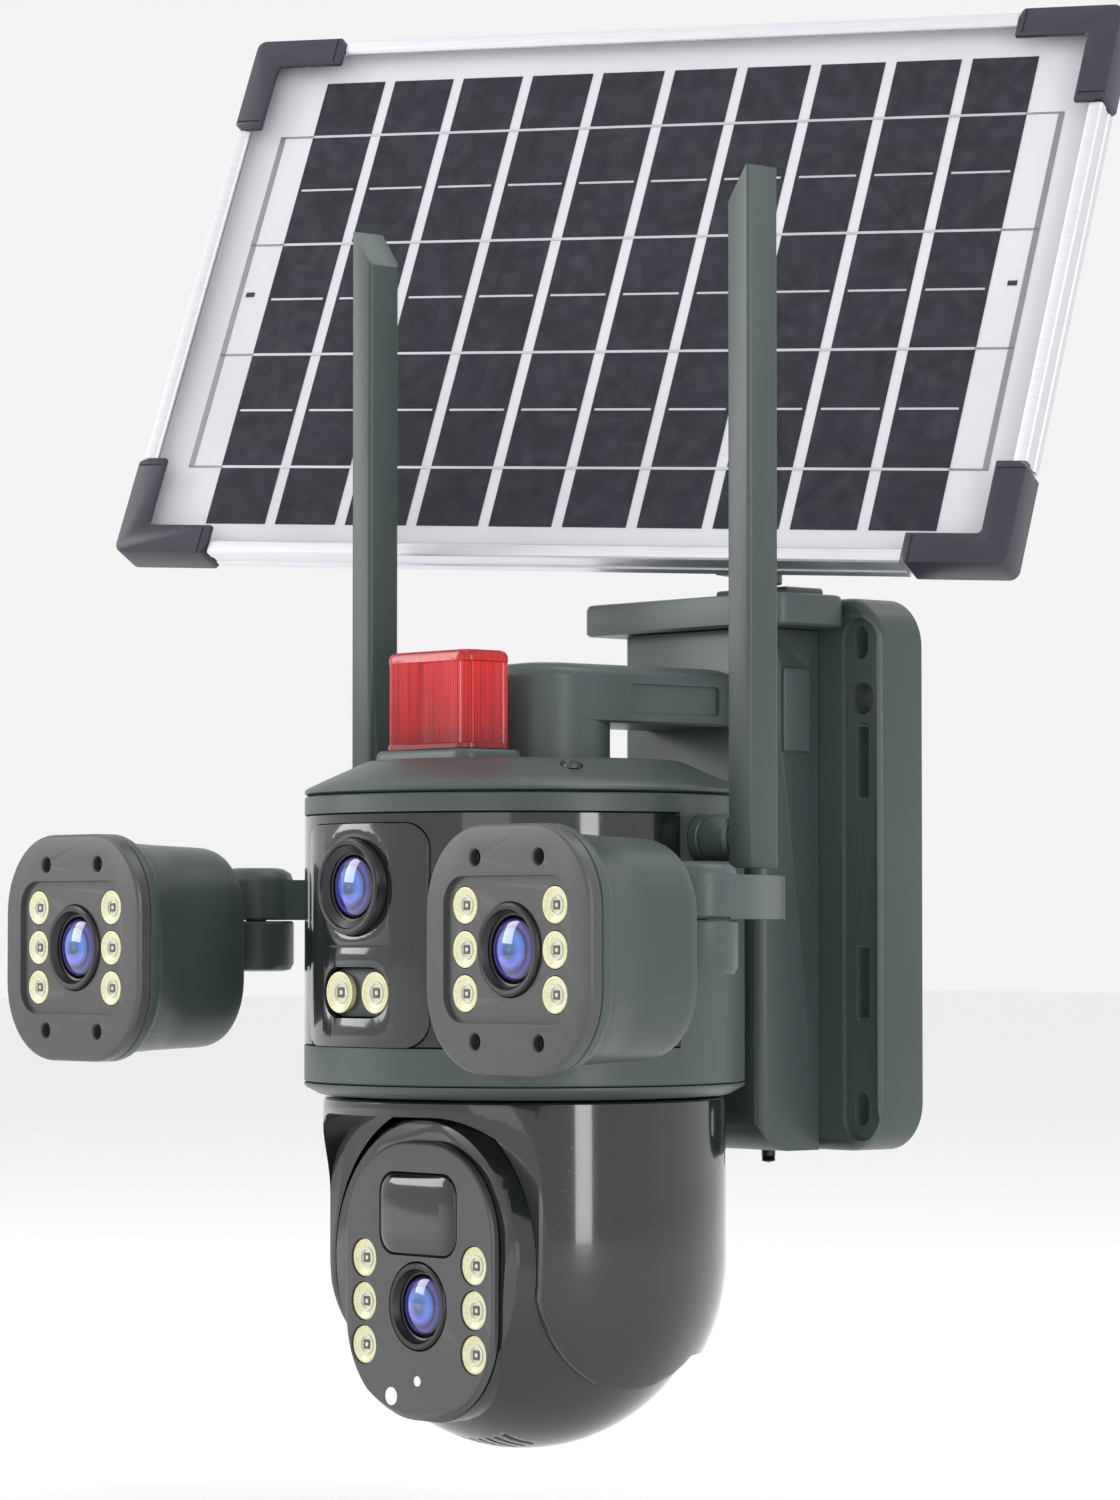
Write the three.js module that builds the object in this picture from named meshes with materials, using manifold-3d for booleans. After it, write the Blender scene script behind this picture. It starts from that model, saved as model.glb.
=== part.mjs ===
// Solar-powered security camera: a wall case carries an arm, the main housing hangs under the arm,
// a panning dome hangs under the housing, and two small cameras, two antennas and a solar panel
// fold and turn around it. Millimetres, +Z up, -Y is the front.
// Origin: centre of the wall plate's back face.
import * as THREE from 'three';
import { mergeVertices } from 'three/addons/utils/BufferGeometryUtils.js';
import Module from 'manifold-3d';

const wasm = await Module();
wasm.setup();

// ---------- driving dimensions ----------
const gap = 0.3;            // clearance between touching pieces
const overshoot = 2;        // how far a cutting tool runs past a face

const plate = { width: 106, height: 158, depth: 18, corner: 14, back: 4 };
const casing = { width: 58, reach: 24.4, wall: 2.5, top: 70, corner: 12 };
const hood = { width: 84, depth: 29, thick: 9.5, corner: 5 };
const strapSlot = { x: 45, width: 5, length: 22, levels: [32, -31] };
const screwSlot = { x: 44.5, width: 5.6, length: 9.4, levels: [66, -67] };
const roundHole = { x: 45, radius: 4.6, z: 50 };
const cell = { radius: 9.2, length: 65, x: 10.5, z: -20 };

const reach = 105;          // wall to the main housing's axis
const drop = 16;            // main housing's middle below the wall plate's middle

const body = { radius: 61.5, wall: 2.5, top: 37, bottom: -42, sides: 36 };
const cap = { rim: 2.2, shoulder: 45, top: 47, wall: 5 };
const glassFront = { half: 31.7, angle: 92 };
const bezel = { half: 25.5, top: 28.8, corner: 7, proud: 0.6 };
const upperLens = { z: 11.7, radius: 13.2, front: 64.2 };
const lampPill = { z: -17, half: 13.7, height: 13.4, ledX: 7.6 };
const arm = { half: 18, bossZ: 47.3, underside: 58, top: 73, y: 8, end: 62.2 };
const beacon = { half: 17.8, front: -36.9, back: -19.1, bottom: 49.8, top: 76.8, rim: 2.6 };

const dome = { axisZ: -91, ball: 53, wall: 2.4, outer: 56.2, inner: 54.2, top: -46.3, roof: -47.6 };
const domeFace = { half: 31.5, height: 76, front: -38.8, thick: 2.2, corner: 27, z: -5, chin: 57.2 };
const domeLamps = { x: 23.4, pitch: 12, z: -11.8 };
const motionWindow = { width: 32.4, height: 22.2, z: 13.1 };
const domeLens = { z: -12, radius: 12 };
const trunnion = { radius: 4, end: 55 };

const side = { x: 94, pivotY: -22, knuckle: 11, split: 2.6, top: 18, web: 14.5, low: -12, z: -5 };
const sideBody = { half: 32, rear: 28.5, front: -88, back: -48, wall: 2.2, hingeY: -40 };
const sidePlate = { half: 24.7, height: 37.7, ledX: 17.4, pitch: 11.3 };

const antenna = { x: 80.5, y: 11.5, z: 25, width: 9, depth: 11, top: 206, foot: 16.7 };
const stubRadius = 6.5;
const antennaPin = { radius: 2.5, length: 11 };

const panel = { width: 294, height: 182, depth: 10, front: -25, shiftX: -55, shiftZ: 70 };
const panelHinge = { y: 90, z: 116, turn: 22, tilt: 23, roll: 3 };
const frameLip = 4.5;
const cornerCap = { arm: 32, wide: 9, wall: 1.5 };

// ---------- finishes ----------
function finish(color, roughness, metalness = 0) {
  return new THREE.MeshStandardMaterial({ color, roughness, metalness });
}
const slate = finish(0x4b5756, 0.45);
const gloss = finish(0x15181a, 0.12);
const faceGrey = finish(0x55585a, 0.4);
const lensGlass = finish(0x2b3a8c, 0.05);
const lamp = finish(0xe3e2a0, 0.3);
const red = finish(0xd0252c, 0.2);
const steel = finish(0xb8bcc0, 0.3, 1);
const aluminium = finish(0xb9bbc2, 0.35, 1);
const darkPlastic = finish(0x2c2b38, 0.5);
const cellBlue = finish(0x1a1b2a, 0.2);
const clearGlass = finish(0xdfe4ea, 0.05);
const board = finish(0x1f5a34, 0.5);
const wrap = finish(0x2f6fb0, 0.4);

// ---------- shape helpers ----------
function toManifold(geometry) {
  const plain = geometry.clone();
  plain.deleteAttribute('normal');
  plain.deleteAttribute('uv');
  const merged = mergeVertices(plain, 1e-4);
  return new wasm.Manifold(new wasm.Mesh({
    numProp: 3,
    vertProperties: new Float32Array(merged.attributes.position.array),
    triVerts: new Uint32Array(merged.index.array),
  }));
}

function toGeometry(manifold) {
  const mesh = manifold.getMesh();
  const geometry = new THREE.BufferGeometry();
  geometry.setAttribute('position', new THREE.BufferAttribute(mesh.vertProperties, 3));
  geometry.setIndex(new THREE.BufferAttribute(mesh.triVerts, 1));
  return geometry;
}

function join(first, ...others) {
  const whole = others.reduce((sum, one) => sum.add(toManifold(one)), toManifold(first));
  return toGeometry(whole);
}

function cut(first, ...tools) {
  const rest = tools.reduce((sum, one) => sum.subtract(toManifold(one)), toManifold(first));
  return toGeometry(rest);
}

function common(first, second) {
  return toGeometry(toManifold(first).intersect(toManifold(second)));
}

// A box from its low corner to its high corner.
function box(x0, y0, z0, x1, y1, z1) {
  const geometry = new THREE.BoxGeometry(x1 - x0, y1 - y0, z1 - z0);
  return geometry.translate((x0 + x1) / 2, (y0 + y1) / 2, (z0 + z1) / 2);
}

// Cylinders along Z, X and Y, from one end to the other.
function postZ(radius, z0, z1, sides = 16) {
  const geometry = new THREE.CylinderGeometry(radius, radius, z1 - z0, sides);
  return geometry.rotateX(Math.PI / 2).translate(0, 0, (z0 + z1) / 2);
}

function postX(radius, x0, x1, sides = 16) {
  return postZ(radius, x0, x1, sides).rotateY(Math.PI / 2);
}

function postY(radius, y0, y1, sides = 16) {
  return postZ(radius, -y1, -y0, sides).rotateX(Math.PI / 2);
}

// A turned piece about Z: the profile is a list of [radius, height] that closes on itself or
// starts and ends on the axis.
function turned(profile, sides = 20) {
  const points = profile.map(([radius, height]) => new THREE.Vector2(radius, height));
  return new THREE.LatheGeometry(points, sides).rotateX(Math.PI / 2);
}

function ringProfile(inner, outer, low, high) {
  return [[inner, low], [outer, low], [outer, high], [inner, high], [inner, low]];
}

// A turned piece about Y, its profile's heights running towards the front.
function turnedFront(profile, y, sides = 14) {
  return turned(profile, sides).rotateX(Math.PI / 2).translate(0, y, 0);
}

function roundedRect(width, height, radius) {
  const shape = new THREE.Shape();
  const x = width / 2;
  const y = height / 2;
  const turn = Math.PI / 2;
  shape.absarc(x - radius, y - radius, radius, 0, turn);
  shape.absarc(-x + radius, y - radius, radius, turn, 2 * turn);
  shape.absarc(-x + radius, -y + radius, radius, 2 * turn, 3 * turn);
  shape.absarc(x - radius, -y + radius, radius, 3 * turn, 4 * turn);
  shape.closePath();
  return shape;
}

function outline(points) {
  return new THREE.Shape(points.map(([x, y]) => new THREE.Vector2(x, y)));
}

// Shapes drawn in XY and raised along Z.
function raised(shape, z0, z1, curveSegments = 4) {
  const options = { depth: z1 - z0, bevelEnabled: false, curveSegments };
  return new THREE.ExtrudeGeometry(shape, options).translate(0, 0, z0);
}

// Shapes drawn as seen from the front (X, Z), from the front face at y0 back to y1.
function upright(shape, y0, y1, curveSegments = 4) {
  return raised(shape, -y1, -y0, curveSegments).rotateX(Math.PI / 2);
}

// Shapes drawn as seen from the side (Y, Z), from x0 to x1.
function sideways(shape, x0, x1, curveSegments = 4) {
  return raised(shape, x0, x1, curveSegments).rotateX(Math.PI / 2).rotateZ(Math.PI / 2);
}

// A sector about Z, open towards the front, between plus and minus an angle.
function frontWedge(angle, radius, z0, z1) {
  const points = [[0, 0]];
  const steps = 6;
  for (let i = 0; i <= steps; i += 1) {
    const turn = THREE.MathUtils.degToRad(-angle + (2 * angle * i) / steps);
    points.push([Math.sin(turn) * radius, -Math.cos(turn) * radius]);
  }
  return raised(outline(points), z0, z1);
}

// ---------- the assembly ----------
const camera = new THREE.Group();

function add(group, name, geometry, material) {
  const mesh = new THREE.Mesh(geometry, material);
  mesh.name = name;
  group.add(mesh);
  return mesh;
}

function newGroup(parent, x, y, z) {
  const group = new THREE.Group();
  group.position.set(x, y, z);
  parent.add(group);
  return group;
}

// ---------- wall plate, case and hood ----------
function makeWall() {
  const group = newGroup(camera, 0, 0, 0);
  const front = -plate.depth;
  const caseFront = front - casing.reach;
  const top = plate.height / 2;
  const halfCase = casing.width / 2;
  const cavity = halfCase - casing.wall;

  const tools = [box(-cavity, front - overshoot, -top + 5, cavity, -plate.back, casing.top - 4)];
  for (const sign of [-1, 1]) {
    for (const level of strapSlot.levels) {
      const slot = roundedRect(strapSlot.width, strapSlot.length, 1.5);
      tools.push(upright(slot, front - overshoot, overshoot, 1).translate(sign * strapSlot.x, 0, level));
    }
    for (const level of screwSlot.levels) {
      const slot = roundedRect(screwSlot.width, screwSlot.length, screwSlot.width / 2 - 0.05);
      tools.push(upright(slot, front - overshoot, overshoot, 2).translate(sign * screwSlot.x, 0, level));
    }
    const hole = postY(roundHole.radius, front - overshoot, overshoot, 10);
    tools.push(hole.translate(sign * roundHole.x, 0, roundHole.z));
  }
  const slab = upright(roundedRect(plate.width, plate.height, plate.corner), front, 0, 4);
  add(group, 'wall_plate', cut(slab, ...tools), slate);

  // The case is a deep cover with a rounded lower front edge, open at the back.
  const sideShape = new THREE.Shape();
  sideShape.moveTo(front - gap, -top);
  sideShape.lineTo(front - gap, casing.top);
  sideShape.lineTo(caseFront, casing.top);
  sideShape.lineTo(caseFront, -top + casing.corner);
  sideShape.absarc(caseFront + casing.corner, -top + casing.corner, casing.corner, Math.PI, 1.5 * Math.PI);
  sideShape.closePath();
  const hollow = box(-cavity, caseFront + casing.wall, -top + casing.wall + 3,
    cavity, front + overshoot, casing.top - casing.wall);
  const glandHole = postZ(2.2, -top - overshoot, -top + 12, 12).translate(14, front - 6, 0);
  add(group, 'wall_case', cut(sideways(sideShape, -halfCase, halfCase), hollow, glandHole), slate);

  const hoodFront = front - hood.depth;
  const hoodShape = roundedRect(hood.width, hood.depth - gap, hood.corner);
  const hoodSlab = raised(hoodShape, casing.top + gap, casing.top + hood.thick, 4);
  add(group, 'hood', hoodSlab.translate(0, (hoodFront + front - gap) / 2, 0), slate);

  const cellY = front - 4;
  for (const [label, sign] of [['left', -1], ['right', 1]]) {
    const low = cell.z - cell.length / 2;
    const can = turned([[0, low], [cell.radius, low], [cell.radius, low + cell.length - 1],
      [3, low + cell.length - 1], [3, low + cell.length], [0, low + cell.length]], 16);
    add(group, `battery_cell_${label}`, can.translate(sign * cell.x, cellY, 0), wrap);
  }
  const chips = [box(-15, -34.4, 30, -5, -31, 40), box(2, -34.4, 34, 16, -30, 50)];
  add(group, 'charge_board', join(box(-22, -36, 22, 22, -34.3, 60), ...chips), board);

  const gland = turned([[0, -top - 4], [2, -top - 4], [2, -top - 0.4], [1.8, -top - 0.4],
    [1.8, -top + 8], [0, -top + 8]], 10);
  add(group, 'cable_gland', gland.translate(14, front - 6, 0), darkPlastic);
}

// ---------- main housing, in a group whose origin is on its axis ----------
const housing = newGroup(camera, 0, -reach, -drop);

function makeShell() {
  const inner = body.radius - body.wall;
  let shell = turned(ringProfile(inner, body.radius, body.bottom, body.top), body.sides);
  const opening = glassFront.half + gap;
  shell = cut(shell, frontWedge(glassFront.angle + 0.4, 80, -opening, opening));

  // Each side arm flares from the housing to a round knuckle with a blind bore for its pin.
  for (const sign of [-1, 1]) {
    const armShape = outline([[50, 3.2], [66, 3.2], [83.2, -20], [side.x, side.pivotY], [104.8, -20],
      [92, 10], [66, 33], [50, 33]]);
    const web = raised(armShape, side.split + gap, side.web);
    const round = postZ(side.knuckle, side.split + gap, side.top).translate(side.x, side.pivotY, 0);
    const bore = postZ(3.3, side.split - overshoot, 15, 12).translate(side.x, side.pivotY, 0);
    const inside = postZ(inner + 0.5, -60, 60, body.sides);
    let lug = cut(join(web, round), bore, inside, frontWedge(glassFront.angle + 0.4, body.radius + 0.4, -60, 60));
    if (sign < 0) lug = lug.applyMatrix4(new THREE.Matrix4().makeScale(-1, 1, 1));
    if (sign < 0) lug.index.array.reverse();
    shell = join(shell, lug);
  }
  add(housing, 'main_housing', shell, slate);

  // The top cap is a shallow cone with a flat middle and a pocket for the beacon.
  const low = body.top + gap;
  const profile = [[0, cap.top - cap.wall], [cap.shoulder - 3, cap.top - cap.wall],
    [body.radius - 6, low], [body.radius, low], [body.radius, low + cap.rim - 1],
    [cap.shoulder, cap.top], [0, cap.top]];
  const margin = beacon.rim + gap;
  const pocket = box(-beacon.half - margin, beacon.front - margin, cap.top - 3.3,
    beacon.half + margin, beacon.back + margin, 60);
  const screwSeat = postZ(3.2, cap.top - 3.6, 60, 16).translate(44, -21.5, 0);
  const throughWire = postZ(4, 30, 60, 12).translate(0, (beacon.front + beacon.back) / 2, 0);
  add(housing, 'top_cap', cut(turned(profile, body.sides), pocket, screwSeat, throughWire), slate);
  const screw = cut(postZ(2.8, cap.top - 3.3, cap.top - 2.1, 12), box(-0.5, -2, cap.top - 2.6, 0.5, 2, 60));
  add(housing, 'cap_screw', screw.translate(44, -21.5, 0), steel);

  const floor = body.bottom - gap;
  const ring = turned([[12.6, floor - 3.4], [56.6, floor - 3.4], [body.radius, floor - 1],
    [body.radius, floor], [12.6, floor], [12.6, floor - 3.4]], body.sides);
  add(housing, 'lower_ring', ring, slate);
}

function makeFront() {
  const half = glassFront.half;
  const inner = body.radius - 2.2;
  const band = turned(ringProfile(inner, body.radius, -half, half), body.sides);
  const window = common(band, frontWedge(glassFront.angle, 80, -half, half));
  const bezelHeight = bezel.top + half;
  const middle = (bezel.top - half) / 2;
  const panelShape = roundedRect(2 * bezel.half, bezelHeight, bezel.corner);
  const holeShape = roundedRect(2 * bezel.half + 2 * gap, bezelHeight + 2 * gap, bezel.corner);
  const hole = upright(holeShape, -80, 0, 3).translate(0, 0, middle);
  add(housing, 'front_window', cut(window, hole), gloss);

  const proudBand = turned(ringProfile(inner, body.radius + bezel.proud, -half, half), body.sides);
  const lensHole = postY(upperLens.radius + gap, -80, 0, 20).translate(0, 0, upperLens.z);
  const pillShape = roundedRect(2 * lampPill.half + 2 * gap, lampPill.height + 2 * gap, 6.6);
  const pillHole = upright(pillShape, -80, 0, 4).translate(0, 0, lampPill.z);
  const seam = box(-23, -80, -4.9, 22, -body.radius + 1.4, -4.1);
  const front = common(proudBand, upright(panelShape, -80, 0, 3).translate(0, 0, middle));
  add(housing, 'front_bezel', cut(front, lensHole, pillHole, seam), gloss);

  addLens(housing, 'upper', 0, -upperLens.front, upperLens.z, upperLens.radius);
  const sensor = join(box(-12, -46.5, 0, 12, -45, 24), box(-5, -49.4, 6, 5, -46.4, 17));
  add(housing, 'upper_sensor_board', sensor, board);

  const pill = upright(roundedRect(2 * lampPill.half, lampPill.height, 6.3), -59.4, -55, 4);
  const lamps = [];
  for (const sign of [-1, 1]) {
    lamps.push(postY(5.2, -61, -59.2, 12).translate(sign * lampPill.ledX, 0, 0));
  }
  add(housing, 'lamp_pill', join(pill, ...lamps).translate(0, 0, lampPill.z), lamp);
}

// A camera lens is a barrel with a dished mouth and a domed glass held in it.
function addLens(group, label, x, front, z, radius) {
  const glassR = 8.4;
  const barrel = turnedFront([[0, -13], [radius - 2.5, -13], [radius - 2.5, -7], [radius, -6],
    [radius, -0.6], [radius - 0.8, 0], [radius - 1.8, 0], [glassR + 0.5, -3],
    [glassR + 0.5, -5.5], [0, -5.5]], front);
  add(group, `${label}_lens_barrel`, barrel.translate(x, 0, z), darkPlastic);
  const glass = turnedFront([[0, -5.2], [glassR, -5.2], [glassR, -3], [glassR * 0.75, -1.6],
    [glassR * 0.4, -0.8], [0, -0.6]], front);
  add(group, `${label}_lens_glass`, glass.translate(x, 0, z), lensGlass);
}

function makeTopGear() {
  const boss = postZ(arm.half, arm.bossZ, arm.top, 24).translate(0, arm.y, 0);
  const beam = box(-arm.half, arm.y, arm.underside, arm.half, arm.end, arm.top);
  const crown = sideways(outline([[arm.y - 6, arm.top - 1], [arm.end, arm.top - 1], [arm.end, arm.top + 1],
    [arm.y + 10, arm.top + 3], [arm.y, arm.top + 2]]), -arm.half + 3, arm.half - 3);
  add(housing, 'support_arm', join(boss, beam, crown), slate);

  const rim = beacon.rim;
  const seat = box(-beacon.half - rim, beacon.front - rim, cap.top - 3,
    beacon.half + rim, beacon.back + rim, beacon.bottom - gap);
  const wireHole = postZ(3, 0, 80, 12).translate(0, (beacon.front + beacon.back) / 2, 0);
  add(housing, 'beacon_base', cut(seat, wireHole), slate);
  const depth = beacon.back - beacon.front;
  const middle = (beacon.front + beacon.back) / 2;
  const lensOuter = raised(roundedRect(2 * beacon.half, depth, 4), beacon.bottom, beacon.top, 3);
  const lensInner = raised(roundedRect(2 * beacon.half - 4, depth - 4, 2.5), 0, beacon.top - 2, 2);
  add(housing, 'beacon_lens', cut(lensOuter, lensInner).translate(0, middle, 0), red);
  const beaconBoard = join(box(-12, -5, beacon.bottom, 12, 5, beacon.bottom + 1.6),
    box(-8, -2.5, beacon.bottom + 1.5, -3, 2.5, beacon.bottom + 3.5),
    box(3, -2.5, beacon.bottom + 1.5, 8, 2.5, beacon.bottom + 3.5));
  add(housing, 'beacon_board', beaconBoard.translate(0, middle, 0), board);
}

function makeInside() {
  const floor = body.bottom;
  const motor = join(postZ(16, floor + 2, floor + 22, 20), postZ(3, floor + 21, floor + 26, 12));
  add(housing, 'pan_motor', motor.translate(0, 6, 0), steel);
  const mainBoard = join(box(-34, 30, -24, 34, 31.6, 30), box(-20, 26, -10, -4, 30.2, 6),
    box(6, 27, 4, 18, 30.2, 16), box(-6, 22, 18, 8, 30.2, 28));
  add(housing, 'main_board', mainBoard, board);
  const speaker = turned([[0, 8], [12, 8], [12, 12], [8, 18], [0, 18]], 20);
  add(housing, 'alarm_speaker', speaker.translate(0, -2, 0), darkPlastic);
}

// ---------- dome: the yoke pans about the housing's axis, the ball tilts in it ----------
const domeGroup = newGroup(housing, 0, 0, dome.axisZ);

// A full sphere made by turning a half circle, so that its poles are on the axis.
function ballSolid(radius, sides = 20) {
  const profile = [];
  const steps = sides / 2;
  for (let i = 0; i <= steps; i += 1) {
    const turn = -Math.PI / 2 + (Math.PI * i) / steps;
    const atPole = i === 0 || i === steps;
    profile.push([atPole ? 0 : Math.cos(turn) * radius, Math.sin(turn) * radius]);
  }
  return turned(profile, sides);
}

function makeYoke() {
  const top = dome.top - dome.axisZ;
  const roof = dome.roof - dome.axisZ;
  const bullet = join(ballSolid(dome.outer, 28), postZ(dome.outer, 0, top, 28));
  const lowerOnly = cut(bullet, box(-80, -80, top, 80, 80, 120));
  const cavity = cut(ballSolid(dome.inner, 28), box(-80, -80, roof, 80, 80, 80));
  const shell = cut(lowerOnly, cavity);

  // Kept: all above the tilt axis, the back down to a skirt, and a round cheek on each side.
  const keep = join(box(-80, -80, 0, 80, 80, 80), box(-80, 0, -26, 80, 80, 1), postX(34, -80, 80, 24));
  const archShape = roundedRect(91, 120, 22);
  const arch = upright(archShape, -80, -33, 5).translate(0, 0, 40.5 - 60);
  const bores = postX(trunnion.radius + gap, -trunnion.end - gap, trunnion.end + gap, 12);
  const hub = postZ(12, top - 1, top + 5, 24);
  add(domeGroup, 'dome_yoke', join(cut(common(shell, keep), arch, bores), hub), gloss);
}

function makeBall() {
  // The top and back of the ball are trimmed to a drum, so that it clears the yoke's roof.
  function trimmed(radius, drum, spread) {
    const from = THREE.MathUtils.degToRad(48 - spread);
    const to = THREE.MathUtils.degToRad(206 + spread);
    const points = [[0, 0]];
    for (let i = 0; i <= 4; i += 1) {
      const turn = from + ((to - from) * i) / 4;
      points.push([-Math.cos(turn) * 90, Math.sin(turn) * 90]);
    }
    const wedge = cut(sideways(outline(points), -70, 70), postX(drum, -80, 80, 20));
    return cut(ballSolid(radius), wedge);
  }
  // The face plate sits low, so the ball has a chin under it. A rim round the opening holds the plate.
  const back = domeFace.front + domeFace.thick + gap;
  const chinShape = roundedRect(2 * domeFace.half + 0.8, domeFace.height + 0.8, domeFace.corner);
  const chinBar = upright(chinShape, -60, -20, 6).translate(0, 0, domeFace.z);
  const chin = common(chinBar, ballSolid(domeFace.chin));
  const outer = cut(join(trimmed(dome.ball, 42.5, 0), chin), box(-80, -80, -80, 80, back, 80));
  const openShape = roundedRect(2 * domeFace.half - 2.4, domeFace.height - 2.4, domeFace.corner - 1);
  const opening = upright(openShape, -60, -30, 5).translate(0, 0, domeFace.z);
  const openBall = common(opening, ballSolid(domeFace.chin - dome.wall));
  const cavity = trimmed(dome.ball - dome.wall, 42.5 - dome.wall, 3);
  const inner = join(cut(cavity, box(-80, -80, -80, 80, back + 2.4, 80)), openBall);
  const pins = [-1, 1].map((sign) => postX(trunnion.radius, Math.min(sign * 50, sign * trunnion.end),
    Math.max(sign * 50, sign * trunnion.end), 12));
  const vents = [];
  for (let i = 0; i < 5; i += 1) {
    vents.push(box(-13 + i * 5, -18, -80, -11 + i * 5, -8, -40));
  }
  add(domeGroup, 'dome_ball', cut(join(cut(outer, inner), ...pins), ...vents), gloss);

  const faceShape = roundedRect(2 * domeFace.half, domeFace.height, domeFace.corner);
  const faceSlab = upright(faceShape, domeFace.front, domeFace.front + domeFace.thick, 6);
  const face = common(faceSlab.translate(0, 0, domeFace.z), ballSolid(domeFace.chin));
  const lensHole = postY(domeLens.radius + gap, -60, 0).translate(0, 0, domeLens.z);
  const { width, height, z: sensorZ } = motionWindow;
  const sensorHole = upright(roundedRect(width + 0.8, height + 0.8, 6), -60, 0, 4).translate(0, 0, sensorZ);
  const lampHoles = domeLampSpots().map(([x, z]) => postY(5.4, -60, 0, 8).translate(x, 0, z));
  add(domeGroup, 'dome_face', cut(face, lensHole, sensorHole, ...lampHoles), faceGrey);

  addLens(domeGroup, 'dome', 0, domeFace.front - 0.6, domeLens.z, domeLens.radius);
  const sensor = join(upright(roundedRect(width, height, 5.6), domeFace.front + 0.2, domeFace.front + 1.8, 4),
    upright(roundedRect(width - 8, height - 6, 5), domeFace.front - 1, domeFace.front + 1, 4));
  add(domeGroup, 'motion_sensor', sensor.translate(0, 0, sensorZ), gloss);

  const plateY = domeFace.front + domeFace.thick + 0.6;
  const lampPlate = upright(roundedRect(58, 34, 14), plateY, plateY + 1.4, 3).translate(0, 0, domeLamps.z);
  const reflectors = domeLampSpots().map(([x, z]) => postY(5, domeFace.front + 0.5, plateY + 0.4, 8)
    .translate(x, 0, z));
  const barrelHole = postY(domeLens.radius + gap, -60, 0).translate(0, 0, domeLens.z);
  add(domeGroup, 'dome_lamps', cut(join(lampPlate, ...reflectors), barrelHole), lamp);
  const imager = join(box(-13, -24, -25, 13, -22.6, 1), box(-6, -22.8, -18, 6, -20, -6));
  add(domeGroup, 'dome_sensor_board', imager, board);
  add(domeGroup, 'tilt_motor', join(postX(13, 14, 32, 20), postX(3, 31, 38, 12)), steel);
}

function domeLampSpots() {
  const spots = [];
  for (const x of [-domeLamps.x, domeLamps.x]) {
    for (const row of [-1, 0, 1]) {
      spots.push([x, domeLamps.z + row * domeLamps.pitch]);
    }
  }
  return spots;
}

// ---------- side cameras: a knuckle that pans, and a head that tilts on it ----------
function makeSideCamera(label, sign) {
  const group = newGroup(housing, sign * side.x, 0, side.z);
  const low = side.low - side.z;
  const high = side.split - side.z;
  const drum = postZ(side.knuckle, low, high).translate(0, side.pivotY, 0);
  const pin = postZ(3, high - 1, high + 11.5, 12).translate(0, side.pivotY, 0);
  const neck = box(-4, sideBody.hingeY, -5.5, 4, side.pivotY - 6, 5.5);
  const eye = postX(5.5, -4, 4, 20).translate(0, sideBody.hingeY, 0);
  const eyeBore = postX(2.3, -20, 20, 12).translate(0, sideBody.hingeY, 0);
  add(group, `side_knuckle_${label}`, cut(join(drum, pin, neck, eye), eyeBore), slate);

  // The head is a cup that narrows to its closed back, with two ears and a pin across them.
  const half = sideBody.half;
  const frontShape = roundedRect(2 * half, 2 * half, 21);
  const rearShape = roundedRect(2 * sideBody.rear, 2 * sideBody.rear, 19);
  const pocketShape = roundedRect(2 * (sideBody.rear - sideBody.wall), 2 * (sideBody.rear - sideBody.wall), 17);
  const front = sideBody.front + 4 + gap;
  const cup = join(upright(frontShape, front, front + 8), upright(rearShape, front + 7, sideBody.back));
  const hollow = upright(pocketShape, front - overshoot, sideBody.back - 2.4, 3);
  const ears = [-1, 1].map((hand) => join(
    box(hand * 6.5 - 2, sideBody.back - 1, -5, hand * 6.5 + 2, sideBody.hingeY, 5),
    postX(5, hand * 6.5 - 2, hand * 6.5 + 2, 20).translate(0, sideBody.hingeY, 0)));
  const acrossPin = postX(2, -6, 6, 12).translate(0, sideBody.hingeY, 0);
  add(group, `side_housing_${label}`, join(cut(cup, hollow), ...ears, acrossPin), slate);

  // The face plate has a shallow recess for the lamps and four screw holes.
  const recess = upright(roundedRect(2 * sidePlate.half, sidePlate.height, 7),
    sideBody.front - overshoot, sideBody.front + 1.2, 4);
  const lensHole = postY(12 + gap, -100, -60);
  const holes = [];
  for (const x of [-12.3, 12.3]) {
    for (const z of [-23.5, 23.5]) {
      holes.push(postY(2, -100, sideBody.front + 2.5, 6).translate(x, 0, z));
    }
  }
  const face = upright(frontShape, sideBody.front, sideBody.front + 4, 4);
  const spots = sideLampSpots();
  const lampHoles = spots.map(([x, z]) => postY(4.9, -100, -60, 8).translate(x, 0, z));
  add(group, `side_face_${label}`, cut(face, recess, lensHole, ...holes, ...lampHoles), faceGrey);

  addLens(group, `side_${label}`, 0, sideBody.front + 0.6, 0, 12);
  const boardY = sideBody.front + 4 + gap;
  const lampBoard = upright(roundedRect(46, 34, 5), boardY, boardY + 1.4, 3);
  const reflectors = spots.map(([x, z]) => postY(4.5, sideBody.front + 1.5, boardY + 0.4, 8).translate(x, 0, z));
  add(group, `side_lamps_${label}`, cut(join(lampBoard, ...reflectors), lensHole), lamp);
}

function sideLampSpots() {
  const spots = [];
  for (const x of [-sidePlate.ledX, sidePlate.ledX]) {
    for (const row of [-1, 0, 1]) {
      spots.push([x, row * sidePlate.pitch]);
    }
  }
  return spots;
}

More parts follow.
